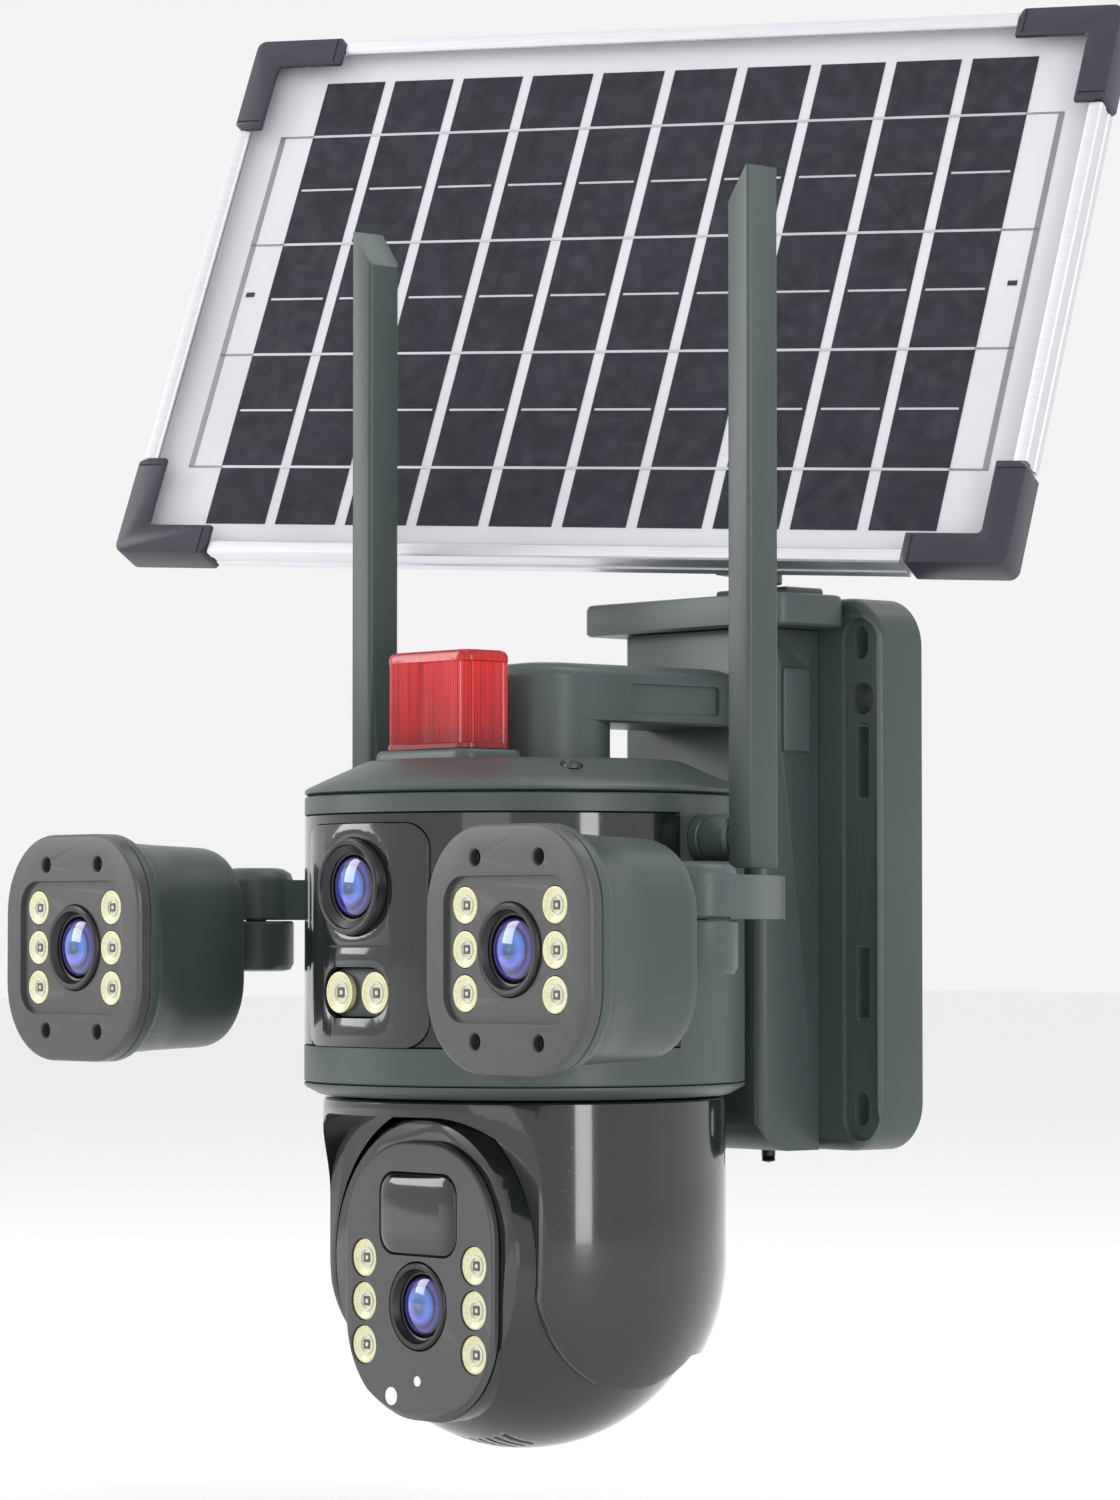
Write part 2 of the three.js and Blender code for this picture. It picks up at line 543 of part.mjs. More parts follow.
// ---------- antennas: a stub on the housing, and a blade that folds forward on it ----------
function makeAntenna(label, sign) {
  const group = newGroup(housing, sign * antenna.x, antenna.y, antenna.z);
  const innerX = antenna.width / 2;
  const saddle = postZ(body.radius + gap, -60, 60, body.sides).translate(-antenna.x, -antenna.y, 0);
  const pinBore = postX(antennaPin.radius + gap, -innerX - antennaPin.length - gap, 0, 12);
  const stub = cut(postX(stubRadius, -antenna.x + 55, -innerX - gap), saddle, pinBore);

  const low = antenna.foot - antenna.z;
  const high = antenna.top - antenna.z;
  const y = antenna.depth / 2;
  const bladeShape = outline([[-innerX, low], [innerX, low], [innerX, high], [innerX - 1, high],
    [-innerX, high - 11]]);
  const blade = upright(bladeShape, -y, y);
  const slit = box(-innerX - overshoot, -y - overshoot, low - overshoot, -innerX + 1.2, -y + 1.2, low + 12);
  const pin = postX(antennaPin.radius, -innerX - antennaPin.length, -innerX + 1, 12);
  const folding = join(cut(blade, slit), pin);

  for (const [name, geometry] of [[`antenna_stub_${label}`, stub], [`antenna_blade_${label}`, folding]]) {
    let shape = geometry;
    if (sign < 0) {
      shape = shape.applyMatrix4(new THREE.Matrix4().makeScale(-1, 1, 1));
      shape.index.array.reverse();
    }
    add(group, name, shape, slate);
  }
}

// ---------- solar panel: a post, a head that turns on it, and the panel that tilts ----------
function makePanel() {
  const post = newGroup(housing, 0, panelHinge.y, panelHinge.z);
  const floor = plate.height / 2 + drop - panelHinge.z;
  const headLow = -15;
  const foot = box(-15, -2.6, floor + gap, 15, 13, floor + 4);
  const stem = postZ(6, floor + 3.5, headLow - gap, 20);
  const stemPin = postZ(2.8, headLow - 1, headLow + 5, 12);
  add(post, 'panel_post', join(foot, stem, stemPin), slate);

  const turning = newGroup(post, 0, 0, 0);
  turning.rotation.z = THREE.MathUtils.degToRad(panelHinge.turn);
  const disc = postZ(7.5, headLow, headLow + 7, 20);
  const ears = [-1, 1].map((hand) => join(
    box(hand * 9 - 2, -4.5, headLow + 5, hand * 9 + 2, 4.5, 0),
    postX(4.5, hand * 9 - 2, hand * 9 + 2, 20)));
  const bridge = box(-11, -4.5, headLow + 3, 11, 4.5, headLow + 7);
  const pinHole = postZ(3.1, headLow - 2, headLow + 5.3, 12);
  const bolt = postX(2.2, -8, 8, 12);
  add(turning, 'panel_head', join(cut(join(disc, bridge), pinHole), ...ears, bolt), slate);

  const tilting = newGroup(turning, 0, 0, 0);
  tilting.rotation.x = -THREE.MathUtils.degToRad(panelHinge.tilt);
  const back = panel.front + panel.depth;
  const eye = postX(4.5, -6.5, 6.5, 20);
  const lug = box(-6.5, back + 2, -4, 6.5, 0, 4);
  const strapTop = panel.shiftZ + panel.height / 2 - 5;
  const strap = box(-14, back + gap, -18, 14, back + 2.8, strapTop);
  strap.rotateY(THREE.MathUtils.degToRad(panelHinge.roll));
  const eyeBore = postX(2.5, -20, 20, 12);
  add(tilting, 'panel_bracket', cut(join(strap, lug, eye), eyeBore), slate);

  const levelled = newGroup(tilting, 0, 0, 0);
  levelled.rotation.y = THREE.MathUtils.degToRad(panelHinge.roll);
  const centred = newGroup(levelled, panel.shiftX, 0, panel.shiftZ);
  const x = panel.width / 2;
  const z = panel.height / 2;
  const wallThick = 1.8;
  const frontY = panel.front;
  const sheetY = frontY + 1.5 + gap;
  const outer = box(-x, frontY, -z, x, back, z);
  const window = box(-x + frameLip, frontY - overshoot, -z + frameLip, x - frameLip, 0, z - frameLip);
  const channel = box(-x + wallThick, frontY + 1.5, -z + wallThick, x - wallThick, back - 1.5, z - wallThick);
  const rear = box(-x + 12, back - 2, -z + 12, x - 12, 0, z - 12);
  const notches = [];
  for (const sx of [-1, 1]) {
    for (const sz of [-1, 1]) {
      notches.push(cornerNotch(sx, sz, x, z, frontY, back));
    }
  }
  add(centred, 'panel_frame', cut(outer, window, channel, rear, ...notches), aluminium);
  const inset = wallThick + gap;
  add(centred, 'panel_glass', box(-x + inset, sheetY, -z + inset, x - inset, sheetY + 3, z - inset), clearGlass);
  const sheet = box(-x + inset, sheetY + 3.3, -z + inset, x - inset, sheetY + 4.6, z - inset);
  add(centred, 'panel_cells', sheet, cellBlue);
  const junction = box(12, sheetY + 4.9, 20, 60, back + 3, 58);
  add(centred, 'junction_box', junction.translate(-100, 0, 0), darkPlastic);

  const corners = [['lower_left', -1, -1], ['lower_right', 1, -1], ['upper_left', -1, 1], ['upper_right', 1, 1]];
  for (const [label, sx, sz] of corners) {
    add(centred, `corner_cap_${label}`, cornerPiece(sx, sz, x, z, frontY, back), darkPlastic);
  }
}

// Each corner cap is an L over two frame edges, and the frame is stepped under it.
function cornerSpan(sx, inner, outer) {
  return sx > 0 ? [inner, outer] : [-outer, -inner];
}

function cornerNotch(sx, sz, x, z, frontY, back) {
  const depth = cornerCap.wall;
  const [x0, x1] = cornerSpan(sx, x - cornerCap.arm - gap, x + overshoot);
  const [z0, z1] = cornerSpan(sz, z - cornerCap.arm - gap, z + overshoot);
  const block = box(x0, frontY - overshoot, z0, x1, back + overshoot, z1);
  const [cx0, cx1] = cornerSpan(sx, 0, x - depth);
  const [cz0, cz1] = cornerSpan(sz, 0, z - depth);
  return cut(block, box(cx0, frontY + depth - 0.6, cz0, cx1, back - depth + 0.6, cz1));
}

function cornerPiece(sx, sz, x, z, frontY, back) {
  const depth = cornerCap.wall + 0.6;
  const [x0, x1] = cornerSpan(sx, x - cornerCap.arm, x + 0.6);
  const [z0, z1] = cornerSpan(sz, z - cornerCap.arm, z + 0.6);
  const block = box(x0, frontY - 1, z0, x1, back + 0.2, z1);
  const [cx0, cx1] = cornerSpan(sx, 0, x - cornerCap.wall + gap);
  const [cz0, cz1] = cornerSpan(sz, 0, z - cornerCap.wall + gap);
  const core = box(cx0, frontY + depth - 1.5, cz0, cx1, back - depth + 1.3, cz1);
  const [ox0, ox1] = cornerSpan(sx, 0, x - cornerCap.wide);
  const [oz0, oz1] = cornerSpan(sz, 0, z - cornerCap.wide);
  return cut(block, core, box(ox0, -60, oz0, ox1, 60, oz1));
}

makeWall();
makeShell();
makeFront();
makeTopGear();
makeInside();
makeYoke();
makeBall();
for (const [label, sign] of [['left', -1], ['right', 1]]) {
  makeSideCamera(label, sign);
  makeAntenna(label, sign);
}
makePanel();

export default camera;
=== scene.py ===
import math
import bmesh
import bpy
from mathutils import Matrix, Vector


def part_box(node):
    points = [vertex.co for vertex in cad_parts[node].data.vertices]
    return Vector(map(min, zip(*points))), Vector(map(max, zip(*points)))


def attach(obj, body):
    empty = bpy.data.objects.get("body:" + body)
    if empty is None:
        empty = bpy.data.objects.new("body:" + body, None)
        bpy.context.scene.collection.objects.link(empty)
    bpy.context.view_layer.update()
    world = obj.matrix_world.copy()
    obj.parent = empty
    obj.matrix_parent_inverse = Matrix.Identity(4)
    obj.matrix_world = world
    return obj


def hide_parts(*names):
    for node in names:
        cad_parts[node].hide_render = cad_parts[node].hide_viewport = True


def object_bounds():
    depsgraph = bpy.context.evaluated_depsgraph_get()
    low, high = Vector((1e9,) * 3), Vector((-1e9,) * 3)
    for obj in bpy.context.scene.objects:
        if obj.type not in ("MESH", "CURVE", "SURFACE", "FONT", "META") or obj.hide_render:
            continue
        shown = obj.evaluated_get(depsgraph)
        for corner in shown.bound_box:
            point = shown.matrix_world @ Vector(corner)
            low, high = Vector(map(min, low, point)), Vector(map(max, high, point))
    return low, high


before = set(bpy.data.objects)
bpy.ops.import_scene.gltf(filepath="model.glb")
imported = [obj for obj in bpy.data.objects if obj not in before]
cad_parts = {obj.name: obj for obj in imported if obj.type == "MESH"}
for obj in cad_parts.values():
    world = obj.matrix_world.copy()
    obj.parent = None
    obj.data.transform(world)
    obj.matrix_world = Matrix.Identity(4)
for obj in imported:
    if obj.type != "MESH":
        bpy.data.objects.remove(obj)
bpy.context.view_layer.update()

# shapes are drawn in millimetres and scaled to metres when a piece is finished
mm = 0.001
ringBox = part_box("lower_ring")
axisY = (ringBox[0][1] + ringBox[1][1]) / 2 / mm
housingLevel = ringBox[1][2] / mm + 42.3  # middle of the main housing
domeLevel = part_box("dome_lens_barrel")[0][2] / mm + 24  # height of the tilt axis
print("frame loaded:", len(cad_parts), "nodes")

# camera, lights and floor
cameraSetup = dict(azimuth=49.0, distance=1.350, lens=115.7, aimRight=0.0099, aimUp=0.0504,
                   sensor=36, near=0.05)
lightSetup = dict(worldGrey=1.0, worldStrength=0.90, target=(0, -0.1, 0.05), floorDrop=0.03, floorHalf=9,
                  floorGrey=0.92)
# name, place, size and power of each light
softboxes = (("keySoftbox", (-1.35, -1.25, 0.75), (0.7, 1.3), 13),
             ("sideStrip", (1.75, -0.35, 0.3), (0.3, 1.5), 9),
             ("frontFill", (0.9, -1.7, -0.15), (0.8, 0.8), 2), ("topSoftbox", (0.3, 0.6, 1.8), (1.2, 1.2), 9))


def aimAt(obj, place, target):
    obj.location = place
    obj.rotation_euler = (Vector(target) - Vector(place)).to_track_quat("-Z", "Y").to_euler()


def makeCamera():
    s = cameraSetup
    turn = math.radians(s["azimuth"])
    centre = Vector((0, axisY * mm, housingLevel * mm))
    away = Vector((math.sin(turn), -math.cos(turn), 0))
    right = Vector((math.cos(turn), math.sin(turn), 0))
    data = bpy.data.cameras.new("viewCamera")
    data.lens = s["lens"]
    data.sensor_width = s["sensor"]
    data.clip_start = s["near"]
    cam = bpy.data.objects.new("viewCamera", data)
    bpy.context.scene.collection.objects.link(cam)
    aimAt(cam, centre + away * s["distance"], centre + right * s["aimRight"] + Vector((0, 0, s["aimUp"])))
    bpy.context.scene.camera = cam


def areaLight(name, place, target, size, power):
    data = bpy.data.lights.new(name, "AREA")
    data.shape = "RECTANGLE"
    data.size, data.size_y = size
    data.energy = power
    lamp = bpy.data.objects.new(name, data)
    bpy.context.scene.collection.objects.link(lamp)
    aimAt(lamp, place, target)


def makeStudio():
    s = lightSetup
    world = bpy.data.worlds.new("studio")
    bpy.context.scene.world = world
    world.use_nodes = True
    back = world.node_tree.nodes["Background"]
    back.inputs[0].default_value = (s["worldGrey"], s["worldGrey"], s["worldGrey"], 1)
    back.inputs[1].default_value = s["worldStrength"]
    for name, place, size, power in softboxes:
        areaLight(name, place, s["target"], size, power)
    # a plain transform keeps the paper white and the plastics dark
    bpy.context.scene.view_settings.view_transform = "Standard"

    low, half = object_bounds()[0][2] - s["floorDrop"], s["floorHalf"]
    mesh = bmesh.new()
    mesh.faces.new([mesh.verts.new((x, y, low)) for x, y in ((-half, -half), (half, -half), (half, half),
                                                           (-half, half))])
    data = bpy.data.meshes.new("studioFloor")
    mesh.to_mesh(data)
    mesh.free()
    floor = bpy.data.objects.new("studioFloor", data)
    bpy.context.scene.collection.objects.link(floor)
    paper = Finish("studioPaper", (s["floorGrey"],) * 3, rough=0.6)
    data.materials.append(paper.material)


# materials
class Wire:
    def __init__(self, finish, socket):
        self.finish = finish
        self.socket = socket

    def maths(self, operation, other=None, swap=False, clamp=False):
        pair = [self, other] if other is not None else [self]
        if swap:
            pair.reverse()
        inputs = {i: value for i, value in enumerate(pair)}
        return self.finish.node("ShaderNodeMath", {"operation": operation, "use_clamp": clamp}, inputs)

    def clipped(self):
        return self.maths("ADD", 0.0, clamp=True)


def addOperator(name, operation, swap):
    setattr(Wire, name, lambda self, other: self.maths(operation, other, swap))


for operation, plain, swapped in (("ADD", "__add__", "__radd__"), ("SUBTRACT", "__sub__", "__rsub__"),
                                  ("MULTIPLY", "__mul__", "__rmul__"), ("DIVIDE", "__truediv__", None),
                                  ("POWER", "__pow__", None), ("GREATER_THAN", "__gt__", None)):
    addOperator(plain, operation, False)
    if swapped:
        addOperator(swapped, operation, True)


class Finish:
    def __init__(self, name, color, rough=0.4, metal=0.0, coat=0.0):
        self.material = bpy.data.materials.new(name)
        self.material.use_nodes = True
        self.tree = self.material.node_tree
        self.shader = self.tree.nodes["Principled BSDF"]
        self.shader.inputs["Base Color"].default_value = (*color, 1)
        self.shader.inputs["Roughness"].default_value = rough
        self.shader.inputs["Metallic"].default_value = metal
        self.shader.inputs["Coat Weight"].default_value = coat
        self.material.diffuse_color = (*color, 1)

    def node(self, kind, settings=None, inputs=None, out=0):
        made = self.tree.nodes.new(kind)
        for key, value in (settings or {}).items():
            if key == "stops":
                ramp = made.color_ramp
                while len(ramp.elements) < len(value):
                    ramp.elements.new(0.5)
                for element, (place, shade) in zip(ramp.elements, value):
                    element.position = place
                    element.color = shade if len(shade) == 4 else (*shade, 1)
            else:
                setattr(made, key, value)
        for key, value in (inputs or {}).items():
            if isinstance(value, Wire):
                self.tree.links.new(value.socket, made.inputs[key])
            else:
                made.inputs[key].default_value = value
        return Wire(self, made.outputs[out])

    def place(self):
        return self.node("ShaderNodeTexCoord", out="Object")

    def axes(self, centre=(0, 0, 0)):
        moved = self.node("ShaderNodeVectorMath", {"operation": "SUBTRACT"}, {0: self.place(), 1: centre})
        return [self.node("ShaderNodeSeparateXYZ", None, {0: moved}, out=i) for i in range(3)]

    def noise(self, scale, detail=3.0, rough=0.5, vector=None):
        return self.node("ShaderNodeTexNoise", None, {"Vector": vector or self.place(), "Scale": scale,
                                                      "Detail": detail, "Roughness": rough})

    def ramp(self, value, *stops):
        return self.node("ShaderNodeValToRGB", {"stops": stops}, {0: value})

    def blend(self, factor, first, second):
        def four(c):
            return c if isinstance(c, Wire) else (*c, 1)
        return self.node("ShaderNodeMix", {"data_type": "RGBA"},
                         {0: factor, 6: four(first), 7: four(second)}, out=2)

    # a mask of convex edges, used for painted edge highlights
    def edges(self, low=0.52, high=0.6):
        point = self.node("ShaderNodeNewGeometry", out="Pointiness")
        return self.node("ShaderNodeMapRange", {"clamp": True}, {0: point, 1: low, 2: high, 3: 0.0, 4: 1.0})

    def bump(self, height, strength=0.2, distance=0.0002, normal=None):
        inputs = {"Height": height, "Strength": strength, "Distance": distance}
        if normal:
            inputs["Normal"] = normal
        return self.node("ShaderNodeBump", None, inputs)

    def set(self, **links):
        names = dict(color="Base Color", rough="Roughness", metal="Metallic", normal="Normal",
                     coat="Coat Weight", alpha="Alpha", glow="Emission Color")
        for key, wire in links.items():
            self.tree.links.new(wire.socket, self.shader.inputs[names[key]])
        return self


def shaded(color, factor):
    return tuple(min(1.0, c * factor) for c in color)


def mouldedPlastic(name, color, rough=0.36, grain=1400, edgeHighlight=0.35, coat=0.0):
    f = Finish(name, color, rough, coat=coat)
    cloud = f.noise(28, 4)
    fine = f.noise(grain, 2)
    scuff = f.noise(210, 6, 0.7)
    # painted highlight: convex edges are lightened towards twice the colour and made a little rougher
    litEdges = (f.edges() * edgeHighlight).clipped()
    tone = f.blend(cloud, shaded(color, 0.86), shaded(color, 1.14))
    tone = f.blend(litEdges, tone, shaded(color, 2.0))
    dust = f.ramp(scuff, (0.60, (0, 0, 0)), (0.78, (1, 1, 1)))
    tone = f.blend(dust * 0.05, tone, (0.32, 0.32, 0.30))
    f.set(color=tone, rough=rough - 0.05 + cloud * 0.10 + dust * 0.10 + litEdges * 0.08,
          normal=f.bump(fine, 0.22, 0.00006))
    return f


def polishedPlastic(name, color, rough=0.08, coat=0.6):
    f = Finish(name, color, rough, coat=coat)
    f.shader.inputs["Coat Roughness"].default_value = 0.04
    smear = f.noise(36, 5, 0.65)
    speck = f.ramp(f.noise(900, 2), (0.66, (0, 0, 0)), (0.74, (1, 1, 1)))
    # painted highlight: convex edges are lightened towards four times the colour
    litEdges = (f.edges(0.53, 0.64) * 0.25).clipped()
    tone = f.blend(speck * 0.06, f.blend(litEdges, color, shaded(color, 4)), (0.25, 0.25, 0.24))
    f.set(color=tone, rough=rough + smear * 0.09 + speck * 0.12,
          normal=f.bump(f.noise(60, 1), 0.03, 0.0002))
    return f


def brushedMetal(name, color, rough=0.3):
    f = Finish(name, color, rough, metal=1.0)
    x, y, z = f.axes()
    long = f.node("ShaderNodeCombineXYZ", None, {0: x * 60, 1: y * 1800, 2: z * 1800})
    streak = f.node("ShaderNodeTexNoise", None, {"Vector": long, "Scale": 1.0, "Detail": 3.0})
    cloud = f.noise(40, 3)
    tone = f.blend(streak, shaded(color, 0.86), shaded(color, 1.1))
    f.set(color=tone, rough=rough - 0.06 + streak * 0.1 + cloud * 0.08, normal=f.bump(streak, 0.12, 0.00004))
    return f


def opticGlass(name, centre, radius):
    # painted reflections: a dark pupil inside blue and violet rings that stand for what the coated lens
    # reflects
    f = Finish(name, (0.02, 0.03, 0.2), 0.03, coat=1.0)
    f.shader.inputs["Coat Roughness"].default_value = 0.01
    x, _, z = f.axes(centre)
    distance = (x * x + z * z) ** 0.5 / radius
    rings = f.ramp(distance + f.noise(300, 1) * 0.02, (0.0, (0.10, 0.16, 0.62)), (0.10, (0.01, 0.012, 0.05)),
                   (0.24, (0.006, 0.008, 0.03)), (0.34, (0.04, 0.08, 0.50)), (0.50, (0.10, 0.15, 0.75)),
                   (0.62, (0.05, 0.04, 0.30)), (0.72, (0.01, 0.01, 0.05)), (0.82, (0.09, 0.07, 0.45)),
                   (0.95, (0.008, 0.008, 0.02)))
    # painted highlight: a cyan sheen over the inner lens, growing towards the top and right
    streak = f.ramp((z * 1.0 + x * 0.6) / radius * 0.5 + 0.5, (0.30, (0, 0, 0)), (0.55, (1, 1, 1)))
    paintedSheen = f.blend(streak * 0.35, rings, (0.10, 0.32, 0.70))
    shade = f.blend((distance > 0.66).clipped(), paintedSheen, rings)
    f.set(color=shade, rough=0.03 + f.noise(120, 2) * 0.03)
    return f


makeCamera()
makeStudio()
print("camera and studio ready")

# mesh tools, all in millimetres
toFront = Matrix.Rotation(math.pi / 2, 4, "X")  # drawn as seen from the front, heights towards the front
toSide = Matrix(((0, 0, 1, 0), (1, 0, 0, 0), (0, 1, 0, 0), (0, 0, 0, 1)))  # drawn in Y and Z, heights along X
upright = Matrix.Identity(4)


def draft(mesh, turn=upright):
    bmesh.ops.recalc_face_normals(mesh, faces=mesh.faces)
    mesh.transform(turn)
    data = bpy.data.meshes.new("draft")
    mesh.to_mesh(data)
    mesh.free()
    obj = bpy.data.objects.new("draft", data)
    bpy.context.scene.collection.objects.link(obj)
    return obj


def lathe(profile, steps=96, turn=upright):
    mesh = bmesh.new()
    rings = []
    for radius, height in profile:
        if radius < 1e-6:
            rings.append([mesh.verts.new((0, 0, height))])
        else:
            rings.append([mesh.verts.new((radius * math.cos(2 * math.pi * i / steps),
                                          radius * math.sin(2 * math.pi * i / steps), height))
                          for i in range(steps)])
    pairs = list(zip(rings, rings[1:]))
    if profile[0][0] > 1e-6:
        pairs.append((rings[-1], rings[0]))
    for a, b in pairs:
        for i in range(steps):
            j = (i + 1) % steps
            corners = [a[i % len(a)], a[j % len(a)], b[j % len(b)], b[i % len(b)]]
            unique = [v for k, v in enumerate(corners) if v not in corners[:k]]
            if len(unique) > 2:
                mesh.faces.new(unique)
    return draft(mesh, turn)


def rod(radius, low, high, steps=96, turn=upright):
    return lathe([(0, low), (radius, low), (radius, high), (0, high)], steps, turn)


def loft(sections, turn=upright):
    # sections are (outline, height) pairs whose outlines have the same number of points
    mesh = bmesh.new()
    rings = [[mesh.verts.new((x, y, height)) for x, y in outline] for outline, height in sections]
    for a, b in zip(rings, rings[1:]):
        for i in range(len(a)):
            j = (i + 1) % len(a)
            mesh.faces.new((a[i], a[j], b[j], b[i]))
    mesh.faces.new(rings[0][::-1])
    mesh.faces.new(rings[-1])
    return draft(mesh, turn)


def slab(outline, low, high, turn=upright):
    return loft([(outline, low), (outline, high)], turn)


def block(x0, y0, z0, x1, y1, z1):
    return slab([(x0, y0), (x1, y0), (x1, y1), (x0, y1)], z0, z1)


def roundRect(width, height, radius, steps=8, middle=(0, 0)):
    points = []
    for k, (sx, sy) in enumerate(((1, 1), (-1, 1), (-1, -1), (1, -1))):
        for i in range(steps + 1):
            a = math.pi / 2 * (k + i / steps)
            points.append((middle[0] + sx * (width / 2 - radius) + radius * math.cos(a),
                           middle[1] + sy * (height / 2 - radius) + radius * math.sin(a)))
    return points


def stacked(width, depth, middle, rows, steps=8):
    # a loft of rounded rectangles; each row says how much smaller it is, its corner and its height
    return loft([(roundRect(width - less, depth - less, corner, steps, middle), level)
                 for less, corner, level in rows])


def arc(middle, radius, start, end, steps):
    # points from one angle to another, both in degrees and both included
    angles = [math.radians(start + (end - start) * i / steps) for i in range(steps + 1)]
    return [(middle[0] + radius * math.cos(a), middle[1] + radius * math.sin(a)) for a in angles]


def moved(obj, x, y, z):
    obj.data.transform(Matrix.Translation((x, y, z)))
    return obj


def mirrored(obj):
    obj.data.transform(Matrix.Scale(-1, 4, (1, 0, 0)))
    obj.data.flip_normals()
    return obj


def bake(obj):
    graph = bpy.context.evaluated_depsgraph_get()
    fresh = bpy.data.meshes.new_from_object(obj.evaluated_get(graph))
    obj.modifiers.clear()
    obj.data = fresh
    return obj


def combine(how, target, tools):
    for tool in tools:
        step = target.modifiers.new("step", "BOOLEAN")
        step.operation = how
        step.solver = "MANIFOLD"
        step.object = tool
        tool.hide_render = True
    bpy.context.view_layer.update()
    bake(target)
    for tool in tools:
        bpy.data.objects.remove(tool)
    return target


def carve(target, *tools):
    return combine("DIFFERENCE", target, tools)


def weld(target, *others):
    return combine("UNION", target, others)


def overlap(target, other):
    return combine("INTERSECT", target, [other])


def gather(objs):
    # several meshes in one piece, each keeping its own material
    mesh = bmesh.new()
    materials = []
    for obj in objs:
        start = len(mesh.faces)
        mesh.from_mesh(obj.data)
        mesh.faces.ensure_lookup_table()
        for own in obj.data.materials:
            if own not in materials:
                materials.append(own)
        for face in mesh.faces[start:]:
            face.material_index = materials.index(obj.data.materials[0]) if obj.data.materials else 0
        bpy.data.objects.remove(obj)
    data = bpy.data.meshes.new("draft")
    mesh.to_mesh(data)
    mesh.free()
    for own in materials:
        data.materials.append(own)
    whole = bpy.data.objects.new("draft", data)
    bpy.context.scene.collection.objects.link(whole)
    return whole


def coated(obj, finish):
    obj.data.materials.clear()
    obj.data.materials.append(finish.material)
    return obj


def rounded(obj, width, segments=2, angle=38):
    step = obj.modifiers.new("soften", "BEVEL")
    step.width = width
    step.segments = segments
    step.limit_method = "ANGLE"
    step.angle_limit = math.radians(angle)
    step.use_clamp_overlap = True
    return bake(obj)


def finishPiece(obj, name, finish, body, nodes, at=(0, 0, 0), soft=0.0, smooth=40, local=None):
    if soft:
        rounded(obj, soft)
    if finish:
        coated(obj, finish)
    obj.data.transform(Matrix.Scale(mm, 4) @ Matrix.Translation(at))
    obj.data.shade_smooth()
    obj.data.set_sharp_from_angle(angle=math.radians(smooth))
    obj.name = name
    obj.data.name = name
    if local:
        obj.matrix_world = local
    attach(obj, body)
    if nodes:
        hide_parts(*nodes)
    return obj


housingAt = (0, axisY, housingLevel)
domeAt = (0, axisY, domeLevel)

# finishes
slateShell = mouldedPlastic("slateShell", (0.048, 0.065, 0.064))
slateDark = mouldedPlastic("slateShadow", (0.040, 0.052, 0.052), rough=0.42)
glossBlack = polishedPlastic("glossBlack", (0.010, 0.012, 0.013))
windowBlack = polishedPlastic("windowBlack", (0.007, 0.008, 0.009), rough=0.05)
plateGrey = mouldedPlastic("plateGrey", (0.060, 0.062, 0.061), rough=0.34, grain=1800)
barrelBlack = mouldedPlastic("barrelBlack", (0.012, 0.012, 0.015), rough=0.3)
holeBlack = mouldedPlastic("holeBlack", (0.004, 0.004, 0.004), rough=0.7)
capBlack = mouldedPlastic("capBlack", (0.030, 0.028, 0.045), rough=0.38, grain=1100)
screwSteel = brushedMetal("screwSteel", (0.45, 0.46, 0.47))
screwDark = brushedMetal("screwDark", (0.10, 0.10, 0.11), rough=0.4)
frameAlloy = brushedMetal("frameAlloy", (0.80, 0.80, 0.84), rough=0.42)


def makeLampFinishes():
    cup = Finish("lampPhosphor", (0.72, 0.70, 0.38), 0.28, coat=0.5)
    fleck = cup.noise(1500, 2)
    cup.set(color=cup.blend(fleck, (0.50, 0.49, 0.24), (0.92, 0.90, 0.58)), rough=0.22 + fleck * 0.2,
            normal=cup.bump(fleck, 0.4, 0.0001))
    die = Finish("lampDie", (0.62, 0.63, 0.60), 0.25, coat=1.0)
    grain = die.noise(2600, 1)
    die.set(color=die.blend(grain, (0.45, 0.46, 0.42), (0.85, 0.86, 0.80)), rough=0.2 + grain * 0.1)
    return cup, die


lampPhosphor, lampDie = makeLampFinishes()
print("finishes ready")


# lamps and lenses, used all over the camera
glassRadius = 8.4


def lampHead(x, z, front, radius):
    # a dished yellow reflector, a ring round the square die and a small bead on the die
    bowl = lathe([(0, -1.6), (radius, -1.6), (radius, -0.1), (radius - 0.35, 0), (radius - 0.7, -0.1),
                  (radius * 0.56, -0.75), (radius * 0.5, -0.7), (0, -0.9)], 40, toFront)
    rim = lathe([(radius * 0.42, -1.0), (radius * 0.56, -1.0), (radius * 0.54, -0.35),
                 (radius * 0.44, -0.35)], 32, toFront)
    die = slab(roundRect(radius * 0.5, radius * 0.5, 0.3, 3), -1.0, -0.55, toFront)
    bead = slab(roundRect(radius * 0.2, radius * 0.2, 0.1, 2, (radius * 0.05, 0)), -0.6, -0.42, toFront)
    parts = [coated(bowl, lampPhosphor), coated(rim, lampDie), coated(die, plateGrey), coated(bead, lampDie)]
    return [moved(part, x, front, z) for part in parts]


def lampColumns(x, pitch, middle=0.0):
    return [(side, middle + row * pitch) for side in (-x, x) for row in (-1, 0, 1)]


def lampGroup(name, spots, front, radius, body, nodes, at, extra=()):
    parts = list(extra)
    for x, z in spots:
        parts += lampHead(x, z, front, radius)
    finishPiece(gather(parts), name, None, body, nodes, at)


